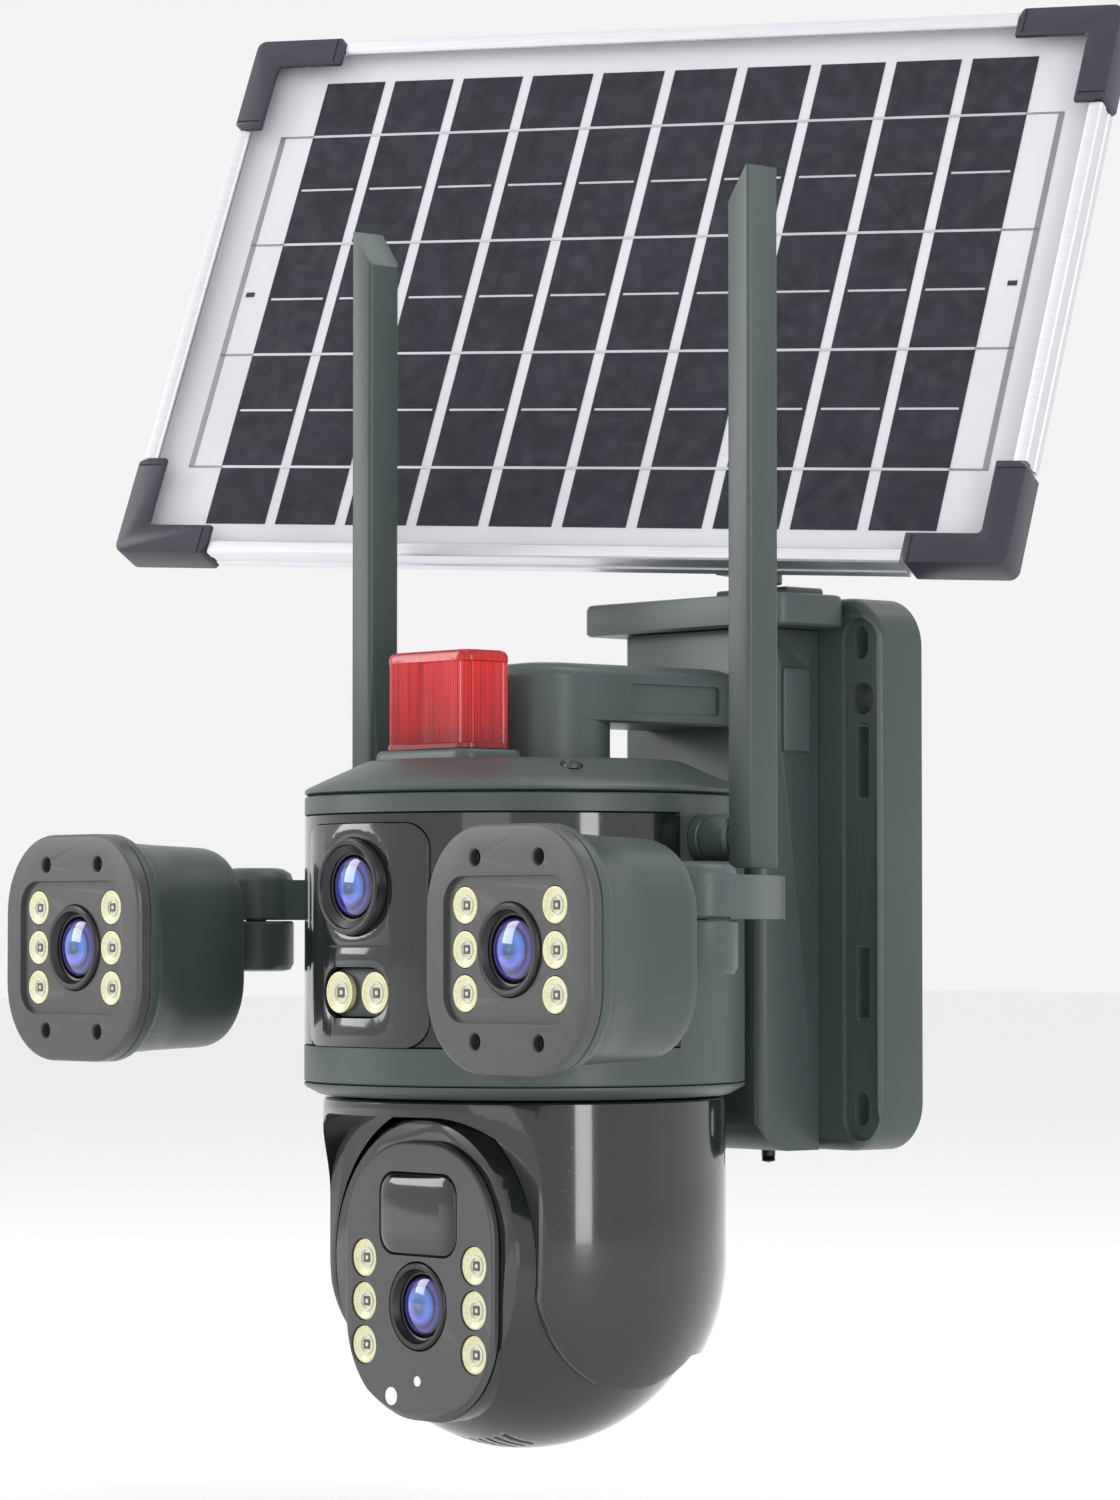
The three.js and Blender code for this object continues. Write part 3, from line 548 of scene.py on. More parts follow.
def lensSet(label, body, front, z, radius, at, barrelNode, glassNode):
    g = glassRadius
    barrel = lathe([(0, -13), (radius - 2.5, -13), (radius - 2.5, -7), (radius, -6), (radius, -0.9),
                    (radius - 0.25, -0.4), (radius - 0.8, -0.05), (radius - 1.7, -0.1), (radius - 2.0, -0.7),
                    (g + 0.9, -1.9), (g + 0.9, -2.4), (g + 0.4, -2.6), (g + 0.4, -5.6), (0, -5.6)], 96,
                   toFront)
    moved(barrel, 0, front, z)
    finishPiece(barrel, label + "LensBarrel", barrelBlack, body, [barrelNode], at, smooth=30)
    dome = lathe([(0, -5.3), (g, -5.3), (g, -2.9), (g * 0.94, -2.45), (g * 0.80, -1.9), (g * 0.6, -1.4),
                  (g * 0.4, -1.08), (g * 0.2, -0.9), (0, -0.84)], 72, toFront)
    moved(dome, 0, front, z)
    centre = (at[0] * mm, 0, (at[2] + z) * mm)
    finishPiece(dome, label + "LensGlass", opticGlass(label + "LensReflections", centre, g * mm), body,
                [glassNode], at, smooth=60)


# main housing
housing = dict(radius=61.5, wall=2.5, top=37.0, bottom=-42.0, windowHalf=31.7, windowAngle=92.0,
               armTop=18.0, webTop=14.5, armLow=2.9, knuckleX=94.0, knuckleY=-22.0, knuckleRadius=11.0)


def frontSector(angle, radius, low, high, steps=60):
    return slab([(0.0, 0.0)] + arc((0, 0), radius, -90 - angle, angle - 90, steps), low, high)


def makeHousing():
    h = housing
    inner = h["radius"] - h["wall"]
    r = h["radius"]
    shell = lathe([(inner, h["bottom"]), (r - 0.4, h["bottom"]), (r, h["bottom"] + 0.4), (r, h["top"] - 0.4),
                   (r - 0.4, h["top"]), (inner, h["top"])], 160)
    opening = h["windowHalf"] + 0.25
    shell = carve(shell, frontSector(h["windowAngle"] + 0.3, 80, -opening, opening))
    finishPiece(shell, "housingShell", slateShell, "wall_mount", ["main_housing"], housingAt)
    for label, sign in (("Left", -1), ("Right", 1)):
        web = slab([(50, 3.2), (60, 3.2), (66, 1.5), (72, -3), (78, -11), (83.2, -20), (94, -22),
                    (104.8, -20),
                    (104, -13), (100, -4), (92, 10), (82, 22), (66, 33), (50, 33)], h["armLow"], h["webTop"])
        low, high, k = h["armLow"], h["armTop"], h["knuckleRadius"]
        drum = lathe([(0, low), (k - 0.8, low), (k, low + 0.8), (k, high - 4), (k - 0.9, high - 1.6),
                      (k - 3, high - 0.3), (k - 5, high), (0, high)], 64)
        arm = weld(web, moved(drum, h["knuckleX"], h["knuckleY"], 0))
        arm = carve(arm, rod(r - 0.3, -60, 60, 96))
        arm = rounded(arm, 1.1, 3)
        if sign < 0:
            mirrored(arm)
        finishPiece(arm, "sideArm" + label, slateShell, "wall_mount", [], housingAt)


capScrewAt = (44, -21.5, 0)


def makeCapAndRing():
    cap = lathe([(0, 42), (42, 42), (55.5, 37.3), (60.6, 37.3), (61.5, 37.9), (61.5, 38.6), (60.9, 39.3),
                 (56, 41.6), (50, 44.3), (45.6, 46.3), (44, 46.9), (42.5, 47), (0, 47)], 160)
    seat = slab(roundRect(41.2, 23.4, 5.2, 8, (0, -28)), 43.7, 60)
    screwHole = moved(rod(3.2, 43.4, 60, 32), *capScrewAt)
    finishPiece(carve(cap, seat, screwHole), "capShell", slateShell, "wall_mount", ["top_cap"],
                housingAt)
    screw = lathe([(0, 43.7), (2.7, 43.7), (2.7, 44.3), (2.2, 44.9), (0, 45.0)], 32)
    screw = carve(screw, block(-0.4, -2.0, 44.5, 0.4, 2.0, 46), block(-2.0, -0.4, 44.5, 2.0, 0.4, 46))
    finishPiece(moved(screw, *capScrewAt), "capScrew", screwDark, "wall_mount", ["cap_screw"],
                housingAt)
    ring = lathe([(12.6, -45.7), (56.2, -45.7), (57.4, -45.4), (60.8, -43.6), (61.5, -42.9), (61.5, -42.3),
                  (12.6, -42.3)], 160)
    finishPiece(ring, "lowerRing", slateShell, "wall_mount", ["lower_ring"], housingAt)


frontPanel = dict(half=25.5, top=28.8, corner=7.0, lensZ=11.7, lensRadius=13.2, lensFront=-64.2,
                  pillZ=-17.0, pillHalf=13.7, pillHeight=13.4, lampX=7.6)


def makeFrontPanel():
    f = frontPanel
    r, half = housing["radius"], housing["windowHalf"]
    band = lathe([(r - 2.2, -half), (r - 0.3, -half), (r, -half + 0.3), (r, half - 0.3), (r - 0.3, half),
                  (r - 2.2, half)], 200)
    window = overlap(band, frontSector(housing["windowAngle"], 80, -half - 1, half + 1))
    # the bezel fills a rounded opening in the middle of the window
    height, middle = f["top"] + half, (f["top"] - half) / 2
    hole = slab(roundRect(2 * f["half"] + 0.6, height + 0.6, f["corner"] + 0.3, 8, (0, middle)), 10, 90,
                toFront)
    finishPiece(carve(window, hole), "frontWindow", windowBlack, "wall_mount", ["front_window"],
                housingAt, smooth=30)
    outer = lathe([(r - 2.2, -half), (r + 0.55, -half), (r + 0.55, half), (r - 2.2, half)], 200)
    plate = overlap(outer, slab(roundRect(2 * f["half"], height, f["corner"], 8, (0, middle)), 10, 90,
                                toFront))
    lensHole = moved(rod(f["lensRadius"] + 0.3, 0, 90, 72, toFront),
                     0, 0, f["lensZ"])
    pillHole = slab(roundRect(2 * f["pillHalf"] + 0.5, f["pillHeight"] + 0.5, 6.7, 10, (0, f["pillZ"])), 10,
                    90, toFront)
    seam = block(-24.5, -80, -4.8, 21, -r + 1.1, -4.1)
    plate = rounded(carve(plate, lensHole, pillHole, seam), 0.35, 2)
    finishPiece(plate, "frontBezel", glossBlack, "wall_mount", ["front_bezel"], housingAt,
                smooth=30)
    lensSet("upper", "wall_mount", f["lensFront"], f["lensZ"], f["lensRadius"], housingAt,
            "upper_lens_barrel", "upper_lens_glass")
    pill = slab(roundRect(2 * f["pillHalf"], f["pillHeight"], 6.5, 10), 55, 58.6, toFront)
    lampGroup("lampPill", [(-f["lampX"], 0), (f["lampX"], 0)], -60.4, 5.6, "wall_mount", ["lamp_pill"],
              (0, axisY, housingLevel + f["pillZ"]), [coated(rounded(pill, 0.5), slateDark)])


makeHousing()
makeCapAndRing()
makeFrontPanel()
print("main housing ready")


# side cameras
sideCam = dict(x=94.0, level=-5.0, half=32.0, rear=28.5, front=-88.0, hingeY=-40.0,
               plateHalf=24.7, plateHeight=37.7, lampX=17.4, lampPitch=11.3, screwX=12.3, screwZ=23.5)


def makeSideCamera(label, sign):
    s = sideCam
    at = (sign * s["x"], axisY, housingLevel + s["level"])
    tilt, pan, side = "side_tilt_" + label, "side_pan_" + label, label.capitalize()
    half, rear, f = s["half"], s["rear"], -s["front"]
    outline = roundRect(2 * half, 2 * half, 22, 12)

    def shrunk(amount, corner):
        return roundRect(2 * (half - amount), 2 * (half - amount), corner, 12)
    cup = loft([(shrunk(5.2, 18), 48.3), (shrunk(4.0, 19), 48.0), (shrunk(3.6, 19.4), 49.4),
                (shrunk(3.4, 19.6), 52),
                (shrunk(2.9, 20), 66), (shrunk(2.2, 20.4), 78), (shrunk(0.3, 21.8), 80.2), (outline, 81.2),
                (outline, 83.3), (shrunk(0.5, 21.7), 83.7)], toFront)
    hollow = slab(roundRect(2 * rear - 5, 2 * rear - 5, 17, 8), 51, 90, toFront)
    ears = []
    for hand in (-1, 1):
        ear = weld(block(hand * 6.5 - 2, -49.5, -5, hand * 6.5 + 2, s["hingeY"], 5),
                   moved(rod(5, hand * 6.5 - 2, hand * 6.5 + 2, 40, toSide), 0, s["hingeY"], 0))
        ears.append(rounded(ear, 0.5))
    pin = moved(rod(2, -6, 6, 24, toSide), 0, s["hingeY"], 0)
    cup = weld(carve(cup, hollow), *ears, pin)
    finishPiece(cup, "sideHousing" + side, slateShell, tilt, ["side_housing_" + label], at)

    face = loft([(outline, f - 4), (outline, f - 1.2), (shrunk(0.25, 21.8), f - 0.5),
                 (shrunk(0.8, 21.4), f - 0.1), (shrunk(1.5, 20.8), f)], toFront)
    recess = slab(roundRect(2 * s["plateHalf"], s["plateHeight"], 7.5, 8), f - 1.3, f + 3, toFront)
    tools = [recess, rod(12.3, 60, 100, 64, toFront)]
    corners = [(x, z) for x in (-s["screwX"], s["screwX"]) for z in (-s["screwZ"], s["screwZ"])]
    for x, z in corners:
        sink = lathe([(0, f - 2.6), (2.1, f - 2.6), (2.1, f - 0.4), (2.5, f + 0.1), (2.5, 100), (0, 100)], 24,
                     toFront)
        tools.append(moved(sink, x, 0, z))
    spots = lampColumns(s["lampX"], s["lampPitch"])
    for x, z in spots:
        tools.append(moved(rod(4.95, 60, 100, 40, toFront), x, 0, z))
    face = rounded(carve(face, *tools), 0.22, 2, 50)
    finishPiece(face, "sideFace" + side, plateGrey, tilt, ["side_face_" + label], at, smooth=14)
    lensSet("side" + side, tilt, s["front"], 0, 12, at, f"side_{label}_lens_barrel",
            f"side_{label}_lens_glass")
    board = slab(roundRect(46, 34, 5), f - 5.7, f - 4.3, toFront)
    hole = rod(12.3, 60, 100, 48, toFront)
    lampGroup("sideLamps" + side, spots, s["front"] + 1.1, 4.7, tilt, ["side_lamps_" + label], at,
              [coated(carve(board, hole), slateDark)])
    # dark screws sit deep in the face's four holes
    screws = []
    for x, z in corners:
        head = lathe([(0, f - 2.5), (1.9, f - 2.5), (1.9, f - 2.0), (1.5, f - 1.7), (0, f - 1.7)], 20,
                     toFront)
        head = carve(head, block(-0.3, -f, -1.2, 0.3, -f + 2.1, 1.2))
        screws.append(coated(moved(head, x, 0, z), holeBlack))
    finishPiece(gather(screws), "faceScrews" + side, None, tilt, [], at)

    # knuckle: a drum on the arm's pin, and a neck with the hinge eye
    y = housing["knuckleY"]
    bottom, top, k = -7.0, 7.6, housing["knuckleRadius"]
    drum = moved(lathe([(0, bottom), (k - 3, bottom), (k - 1.0, bottom + 0.5), (k, bottom + 2.2),
                        (k, top - 0.6), (k - 0.6, top), (0, top)], 64), 0, y, 0)
    neck = block(-4, s["hingeY"], -5.5, 4, y - 6, 5.5)
    eye = moved(rod(5.5, -4, 4, 40, toSide), 0, s["hingeY"], 0)
    bore = moved(rod(2.3, -20, 20, 24, toSide), 0, s["hingeY"], 0)
    post = moved(rod(3, top - 1, top + 11, 32), 0, y, 0)
    knuckle = rounded(carve(weld(drum, neck, eye, post), bore), 0.4)
    finishPiece(knuckle, "sideKnuckle" + side, slateShell, pan, ["side_knuckle_" + label], at)


# antennas
antenna = dict(x=80.5, y=11.5, z=25.0, width=9.0, depth=11.0, top=206.0, foot=16.7, stub=6.5)


def makeAntenna(label, sign):
    a = antenna
    inner, deep = a["width"] / 2, a["depth"] / 2
    low, high = a["foot"] - a["z"], a["top"] - a["z"]
    outline = roundRect(a["width"], a["depth"], 1.3, 5)
    blade = loft([(outline, low), (outline, low + 60), (outline, high)])
    slant = slab([(-9, high - 16.5), (inner - 0.6, high + 0.9), (inner + 5, high + 0.9),
                  (inner + 5, high + 20), (-9, high + 20)], -20, 20, toFront)
    slit = block(-inner - 1, -deep - 1, low - 1, -inner + 0.9, -deep + 1.1, low + 11)
    pin = rod(2.5, -inner - 11, -inner + 1, 24, toSide)
    collar = rod(5.2, -inner - 0.15, -inner + 1, 40, toSide)
    blade = rounded(weld(carve(blade, slant, slit), pin, collar), 0.35, 2, 32)
    stub = lathe([(0, -26), (a["stub"], -26), (a["stub"], -16), (a["stub"] - 0.7, -15.6),
                  (a["stub"] - 0.7, -14.9),
                  (a["stub"], -14.5), (a["stub"], -inner - 1.2), (a["stub"] - 0.9, -inner - 0.35),
                  (2.8, -inner - 0.35), (2.8, -15.8), (0, -15.8)], 56, toSide)
    saddle = moved(rod(housing["radius"] + 0.3, -40, 40, 96),
                   -a["x"], -a["y"], 0)
    stub = carve(stub, saddle)
    at = (sign * a["x"], axisY + a["y"], housingLevel + a["z"])
    for piece, name, body, node in ((blade, "antennaBlade", "antenna_" + label, "antenna_blade_" + label),
                                    (stub, "antennaStub", "wall_mount", "antenna_stub_" + label)):
        if sign < 0:
            mirrored(piece)
        finishPiece(piece, name + label.capitalize(), slateShell, body, [node], at)


for label, sign in (("left", -1), ("right", 1)):
    makeSideCamera(label, sign)
    makeAntenna(label, sign)
print("side cameras and antennas ready")


# dome
dome = dict(ball=53.0, wall=2.4, outer=56.2, inner=54.2, top=44.7, roof=43.4, cheek=34.0, chin=57.2,
            faceHalf=31.5, faceHeight=76.0, faceFront=38.8, faceCorner=27.0, faceZ=-5.0, lensZ=-12.0,
            lampX=23.4, lampPitch=12.0, lampZ=-11.8, sensorZ=13.1, sensorWide=32.4, sensorTall=22.2)


def sphere(radius, steps=96):
    profile = [(0.0 if i in (0, steps // 2) else radius * math.sin(2 * math.pi * i / steps),
                -radius * math.cos(2 * math.pi * i / steps)) for i in range(steps // 2 + 1)]
    return lathe(profile, steps)


def wedge(low, high, reach, steps=10):
    return slab([(0.0, 0.0)] + arc((0, 0), reach, 180 - low, 180 - high, steps), -80, 80, toSide)


def xCylinder(radius, low, high, steps=96):
    return rod(radius, low, high, steps, toSide)


def makeYoke():
    d = dome
    quarter = [(0.0 if i == 0 else d["outer"] * math.sin(math.pi / 2 * i / 30),
                -d["outer"] * math.cos(math.pi / 2 * i / 30)) for i in range(31)]
    bullet = lathe(quarter + [(d["outer"], d["top"] - 0.6), (d["outer"] - 0.6, d["top"]), (0, d["top"])], 160)
    cavity = carve(sphere(d["inner"], 120), block(-80, -80, d["roof"], 80, 80, 90))
    shell = carve(bullet, cavity)
    keep = weld(block(-80, -80, 0, 80, 80, 80), block(-80, 0, -26, 80, 80, 1), xCylinder(d["cheek"], -80, 80))
    arch = slab(roundRect(91, 120, 24, 14, (0, 40.5 - 60)), 33, 90, toFront)
    bores = xCylinder(4.3, -55.3, 55.3, 32)
    hub = rod(12, d["top"] - 1, d["top"] + 5, 48)
    yoke = weld(carve(overlap(shell, keep), arch, bores), hub)
    yoke = rounded(yoke, 0.5, 2, 42)
    finishPiece(yoke, "domeYoke", glossBlack, "dome_pan", ["dome_yoke"], domeAt, smooth=32)


def makeBall():
    d = dome
    f = d["faceFront"]

    def trimmed(radius, drum, spread):
        return carve(sphere(radius, 120), carve(wedge(48 - spread, 206 + spread, 90),
                                                xCylinder(drum, -90, 90)))

    def faceShape(grow, steps=16):
        return roundRect(2 * (d["faceHalf"] + grow), d["faceHeight"] + 2 * grow, d["faceCorner"] + grow,
                         steps, (0, d["faceZ"]))
    # the plate sits low, so the ball has a chin under it and a rim round its opening
    chin = overlap(slab(faceShape(0.4), 20, f - 2.5, toFront), sphere(d["chin"], 120))
    ball = weld(carve(trimmed(d["ball"], 42.5, 0), block(-80, -80, -80, 80, -f + 2.5, 80)), chin)
    ball = rounded(ball, 0.5, 2, 35)
    cavity = carve(trimmed(d["ball"] - d["wall"], 42.5 - d["wall"], 3),
                   block(-80, -80, -80, 80, -f + 4.9, 80))
    opening = overlap(slab(faceShape(-1.2), 30, 60, toFront), sphere(d["chin"] - 2.4, 120))
    ball = carve(ball, cavity, opening)
    ball = weld(ball, xCylinder(4, 50, 55, 32), xCylinder(4, -55, -50, 32))
    slots = []
    for i in range(9):
        x = -14 + 3.5 * i
        slots.append(block(x - 0.75, -20, -80, x + 0.75, -9, -40))
    ball = rounded(carve(ball, *slots), 0.2, 2, 55)
    finishPiece(ball, "domeBall", glossBlack, "dome_tilt", ["dome_ball"], domeAt, smooth=32)

    face = loft([(faceShape(0), f - 2.2), (faceShape(0), f - 0.8), (faceShape(-0.25), f - 0.3),
                 (faceShape(-0.8), f)], toFront)
    face = overlap(face, sphere(d["chin"], 160))
    spots = lampColumns(d["lampX"], d["lampPitch"], d["lampZ"])
    wide, tall = d["sensorWide"], d["sensorTall"]
    tools = [moved(rod(12.35, 10, 60, 64, toFront), 0, 0, d["lensZ"]),
             slab(roundRect(wide + 0.8, tall + 0.8, 6, 8, (0, d["sensorZ"])), 10, 60, toFront)]
    for x, z in spots:
        tools.append(moved(rod(5.45, 10, 60, 40, toFront), x, 0, z))
    face = rounded(carve(face, *tools), 0.22, 2, 50)
    finishPiece(face, "domeFace", plateGrey, "dome_tilt", ["dome_face"], domeAt, smooth=14)
    lensSet("dome", "dome_tilt", -f - 0.6, d["lensZ"], 12, domeAt, "dome_lens_barrel", "dome_lens_glass")
    board = slab(roundRect(58, 34, 14, 6, (0, d["lampZ"])), f - 4.2, f - 2.9, toFront)
    hole = moved(rod(12.3, 10, 60, 48, toFront), 0, 0, d["lensZ"])
    lampGroup("domeLamps", spots, -f + 0.5, 5.2, "dome_tilt", ["dome_lamps"], domeAt,
              [coated(carve(board, hole), slateDark)])
    # the motion sensor's cover is a shallow pillow
    cover = loft([(roundRect(wide, tall, 5.8, 8), f - 2.0), (roundRect(wide, tall, 5.8, 8), f - 0.2),
                  (roundRect(wide - 1.2, tall - 1.2, 5.6, 8), f + 0.3),
                  (roundRect(wide - 5, tall - 4.6, 4.8, 8), f + 0.75),
                  (roundRect(wide - 12, tall - 10, 3.8, 8), f + 1.0)], toFront)
    finishPiece(moved(cover, 0, 0, d["sensorZ"]), "motionCover", windowBlack, "dome_tilt", ["motion_sensor"],
                domeAt, smooth=60)
    dots = []
    for x, z, r in ((-11.2, -37.2, 2.5), (0.0, -32.4, 1.4)):
        dots.append(coated(moved(lathe([(0, f - 0.4), (r, f - 0.4), (r, f + 0.12), (r * 0.8, f + 0.2),
                                        (0, f + 0.25)], 32, toFront), x, 0, z), whiteDot))
    finishPiece(gather(dots), "statusDots", None, "dome_tilt", [], domeAt)


whiteDot = mouldedPlastic("whiteDot", (0.82, 0.82, 0.80), rough=0.3, edgeHighlight=0.0)
makeYoke()
makeBall()
print("dome ready")


# support arm, beacon and its base
arm = dict(half=18.0, bossLow=47.3, underside=58.0, top=73.0, y=8.0, end=62.2)
beacon = dict(half=17.8, front=-36.9, back=-19.1, bottom=49.8, top=76.8)


def makeArm():
    a = arm
    foot = moved(rod(a["half"], a["bossLow"], a["top"] - 3, 72), 0, a["y"], 0)
    # the beam is round over the housing, straight behind, and slightly crowned
    plan = [(a["half"], a["end"]), (-a["half"], a["end"])] + arc((0, a["y"]), a["half"], 180, 360, 24)

    def inset(amount):
        return [(x * (1 - amount / a["half"]), min(a["end"], a["y"] + (y - a["y"]) * (1 - amount / a["half"]))
                 if y < a["end"] - 1 else y) for x, y in plan]
    beam = loft([(inset(0.7), a["underside"]), (plan, a["underside"] + 0.7), (plan, a["top"] - 2.0),
                 (inset(0.6), a["top"] - 0.6), (inset(1.8), a["top"] + 0.4), (inset(5.5), a["top"] + 1.4),
                 (inset(10), a["top"] + 1.9)])
    body = weld(foot, beam)
    for sign in (-1, 1):
        side = slab(roundRect(34, 8.5, 1.2, 5, (41, 65)), a["half"] - 1.3, a["half"] + 3, toSide)
        if sign < 0:
            mirrored(side)
        body = carve(body, side)
    finishPiece(rounded(body, 0.35, 2, 45), "supportArm", slateShell, "wall_mount", ["support_arm"],
                housingAt, smooth=35)


def makeBeacon():
    b = beacon
    middle = (b["front"] + b["back"]) / 2
    wide, deep = 2 * b["half"], b["back"] - b["front"]
    base = stacked(wide + 5.2, deep + 5.2, (0, middle),
                   [(0, 5.0, 44.1), (0, 5.0, 47.9), (0.6, 4.8, 48.9), (2.2, 4.4, 49.5)], 10)
    wire = moved(rod(3, 0, 80, 24), 0, middle, 0)
    finishPiece(carve(base, wire), "beaconBase", slateShell, "wall_mount", ["beacon_base"],
                housingAt)

    def ribbed(amount, depth, count=96):
        # an even walk round a rounded rectangle, with a shallow flute on every other point
        outline = roundRect(wide - 2 * amount, deep - 2 * amount, max(4.2 - amount, 1.0), 24)
        length = [0.0]
        for p, q in zip(outline, outline[1:] + outline[:1]):
            length.append(length[-1] + math.dist(p, q))
        walk, k = [], 0
        for i in range(count * 4):
            goal = length[-1] * i / (count * 4)
            while length[k + 1] < goal:
                k += 1
            t = (goal - length[k]) / max(length[k + 1] - length[k], 1e-6)
            p, q = outline[k % len(outline)], outline[(k + 1) % len(outline)]
            x, y = p[0] + (q[0] - p[0]) * t, p[1] + (q[1] - p[1]) * t
            dip = depth * (0.5 - 0.5 * math.cos(math.pi / 2 * (i % 4)))
            reach = math.hypot(x, y)
            walk.append((x * (1 - dip / reach), y * (1 - dip / reach) + middle))
        return walk
    low, high = b["bottom"], b["top"]
    lens = loft([(ribbed(0, 0), low), (ribbed(0, 0), low + 1.2), (ribbed(0.25, 0.35), low + 1.5),
                 (ribbed(0.25, 0.35), high - 3.4), (ribbed(0.1, 0.0), high - 3.0),
                 (ribbed(0.15, 0), high - 1.6),
                 (ribbed(0.7, 0), high - 0.6), (ribbed(1.7, 0), high - 0.05), (ribbed(3.5, 0), high)])
    hollow = slab(roundRect(wide - 4.4, deep - 4.4, 2.4, 8, (0, middle)), low - 3, high - 2.2)
    finishPiece(carve(lens, hollow), "beaconLens", beaconRed, "wall_mount", ["beacon_lens"],
                housingAt, smooth=28)


def makeBeaconRed():
    red = Finish("beaconRed", (0.58, 0.02, 0.02), 0.22, coat=0.35)
    red.shader.inputs["Specular IOR Level"].default_value = 0.35
    red.shader.inputs["Emission Strength"].default_value = 0.10
    x, y, _ = red.axes()
    height = red.axes((0, 0, (housingLevel + beacon["bottom"]) * mm))[2] * (1000 / 27)
    flutes = red.node("ShaderNodeCombineXYZ", None, {0: x * 900, 1: y * 900, 2: height * 0.5})
    streak = red.node("ShaderNodeTexNoise", None, {"Vector": flutes, "Scale": 1.0, "Detail": 3.0})
    # painted light: the red is darkest at the bottom, brightest high up and darker again at the top rim, and
    # the same painted tone is fed to a faint glow
    tone = red.ramp(height, (0.0, (0.20, 0.004, 0.005)), (0.25, (0.46, 0.010, 0.012)),
                    (0.85, (0.62, 0.018, 0.018)), (0.96, (0.40, 0.010, 0.012)))
    dark = red.ramp(streak, (0.36, (1, 1, 1)), (0.52, (0, 0, 0)))
    tone = red.blend(dark * 0.55, tone, (0.17, 0.004, 0.006))
    fine = red.noise(1800, 2)
    red.set(color=tone, glow=tone, rough=0.16 + fine * 0.12, normal=red.bump(streak, 0.25, 0.0002))
    return red


# wall plate, case, hood and cable gland
wall = dict(width=106.0, height=158.0, depth=18.0, corner=14.0, back=4.0, holeX=45.0)
case = dict(half=29.0, front=42.4, wall=2.5, top=70.0, corner=12.0, edge=4.5)
hoodSize = dict(width=84, front=-47.0, rear=-18.6)
glandAt = (14, -24, 0)


def makeWallPlate():
    w = wall
    wide, tall, d, c = w["width"], w["height"], w["depth"], w["corner"]

    def inset(amount):
        return roundRect(wide - 2 * amount, tall - 2 * amount, c - amount, 14)
    edge = [(3.2 * (1 - math.cos(math.pi / 2 * i / 6)), d - 3.2 * (1 - math.sin(math.pi / 2 * i / 6)))
            for i in range(7)]
    plate = loft([(inset(0.4), 0), (inset(0), 0.4)] + [(inset(amount), height) for amount, height in edge],
                 toFront)
    tools = [block(-26.5, -d - 2, -74, 26.5, -w["back"], 66)]
    for sign in (-1, 1):
        # a shallow channel with an arched top holds each side's slots
        tools.append(slab(roundRect(13.4, 149, 6.6, 12, (sign * w["holeX"], -1.5)), d - 1.6, d + 4, toFront))
        for level in (32, -31):
            tools.append(slab(roundRect(5, 22, 1.5, 6, (sign * w["holeX"], level)), -2, d + 2, toFront))
        for level in (66, -67):
            tools.append(slab(roundRect(5.6, 9.4, 2.75, 10, (sign * (w["holeX"] - 0.5), level)), -2, d + 2,
                              toFront))
        tools.append(slab(arc((sign * w["holeX"], 50), 4.6, 0, 351, 39), -2, d + 2, toFront))
    finishPiece(rounded(carve(plate, *tools), 0.3, 2, 50), "wallPlate", slateShell, "wall_mount",
                ["wall_plate"], smooth=30)


def makeCase():
    c = case
    low, back = -wall["height"] / 2, -wall["depth"] - 0.3
    profile = [(back, low), (back, c["top"]), (-c["front"], c["top"])]
    profile += arc((-c["front"] + c["corner"], low + c["corner"]), c["corner"], 180, 270, 12)
    r = c["edge"]
    plan = [(c["half"], back), (-c["half"], back)] + arc((-c["half"] + r, -c["front"] + r), r, 180, 270, 8)
    plan += arc((c["half"] - r, -c["front"] + r), r, 270, 360, 8)
    shell = overlap(slab(profile, -c["half"], c["half"], toSide), slab(plan, -90, 90))
    hollow = block(-26.5, -c["front"] + c["wall"], low + 5.5, 26.5, -16, c["top"] - 2.5)
    glandHole = moved(rod(2.2, -90, -66, 24), *glandAt)
    # a raised catch on each side holds the case to the plate
    catches = []
    for sign in (-1, 1):
        catch = rounded(block(c["half"] - 0.5, -33, 35, c["half"] + 1.3, -22.5, 59), 0.6, 3)
        catches.append(mirrored(catch) if sign < 0 else catch)
    shell = rounded(weld(carve(shell, hollow, glandHole), *catches), 0.35, 2, 50)
    finishPiece(shell, "wallCase", slateShell, "wall_mount", ["wall_case"], smooth=32)

    front, rear = hoodSize["front"], hoodSize["rear"]
    middle, deep = (front + rear) / 2, rear - front
    hood = stacked(hoodSize["width"], deep, (0, middle),
                   [(1.6, 4.4, 70.3), (0, 5, 71), (0, 5, 78), (0.8, 4.8, 79.1), (2.4, 4.2, 79.5)])
    finishPiece(hood, "hood", slateShell, "wall_mount", ["hood"], smooth=35)

    threads = []
    for i in range(6):
        threads += [(2.0, -80.9 - 0.3 * i), (1.75, -81.05 - 0.3 * i)]
    gland = lathe([(0, -83)] + threads[::-1] + [(2.0, -79.4), (1.8, -79.3), (1.8, -71), (0, -71)], 40)
    finishPiece(moved(gland, *glandAt), "cableGland", barrelBlack, "wall_mount", ["cable_gland"])


# solar panel
panel = dict(width=294.0, height=182.0, depth=10.0, front=-25.0, shiftX=-55.0, shiftZ=70.0, lip=4.5, wall=1.8,
             capArm=32.0, capWide=9.0, capWall=1.5)
hinge = dict(place=(0.0, -15.0, 100.0), turn=22.0, tilt=23.0, roll=3.0)
headFrame = (Matrix.Translation([v * mm for v in hinge["place"]])
             @ Matrix.Rotation(math.radians(hinge["turn"]), 4, "Z"))
tiltFrame = headFrame @ Matrix.Rotation(-math.radians(hinge["tilt"]), 4, "X")
panelFrame = (tiltFrame @ Matrix.Rotation(math.radians(hinge["roll"]), 4, "Y")
              @ Matrix.Translation((panel["shiftX"] * mm, 0, panel["shiftZ"] * mm)))


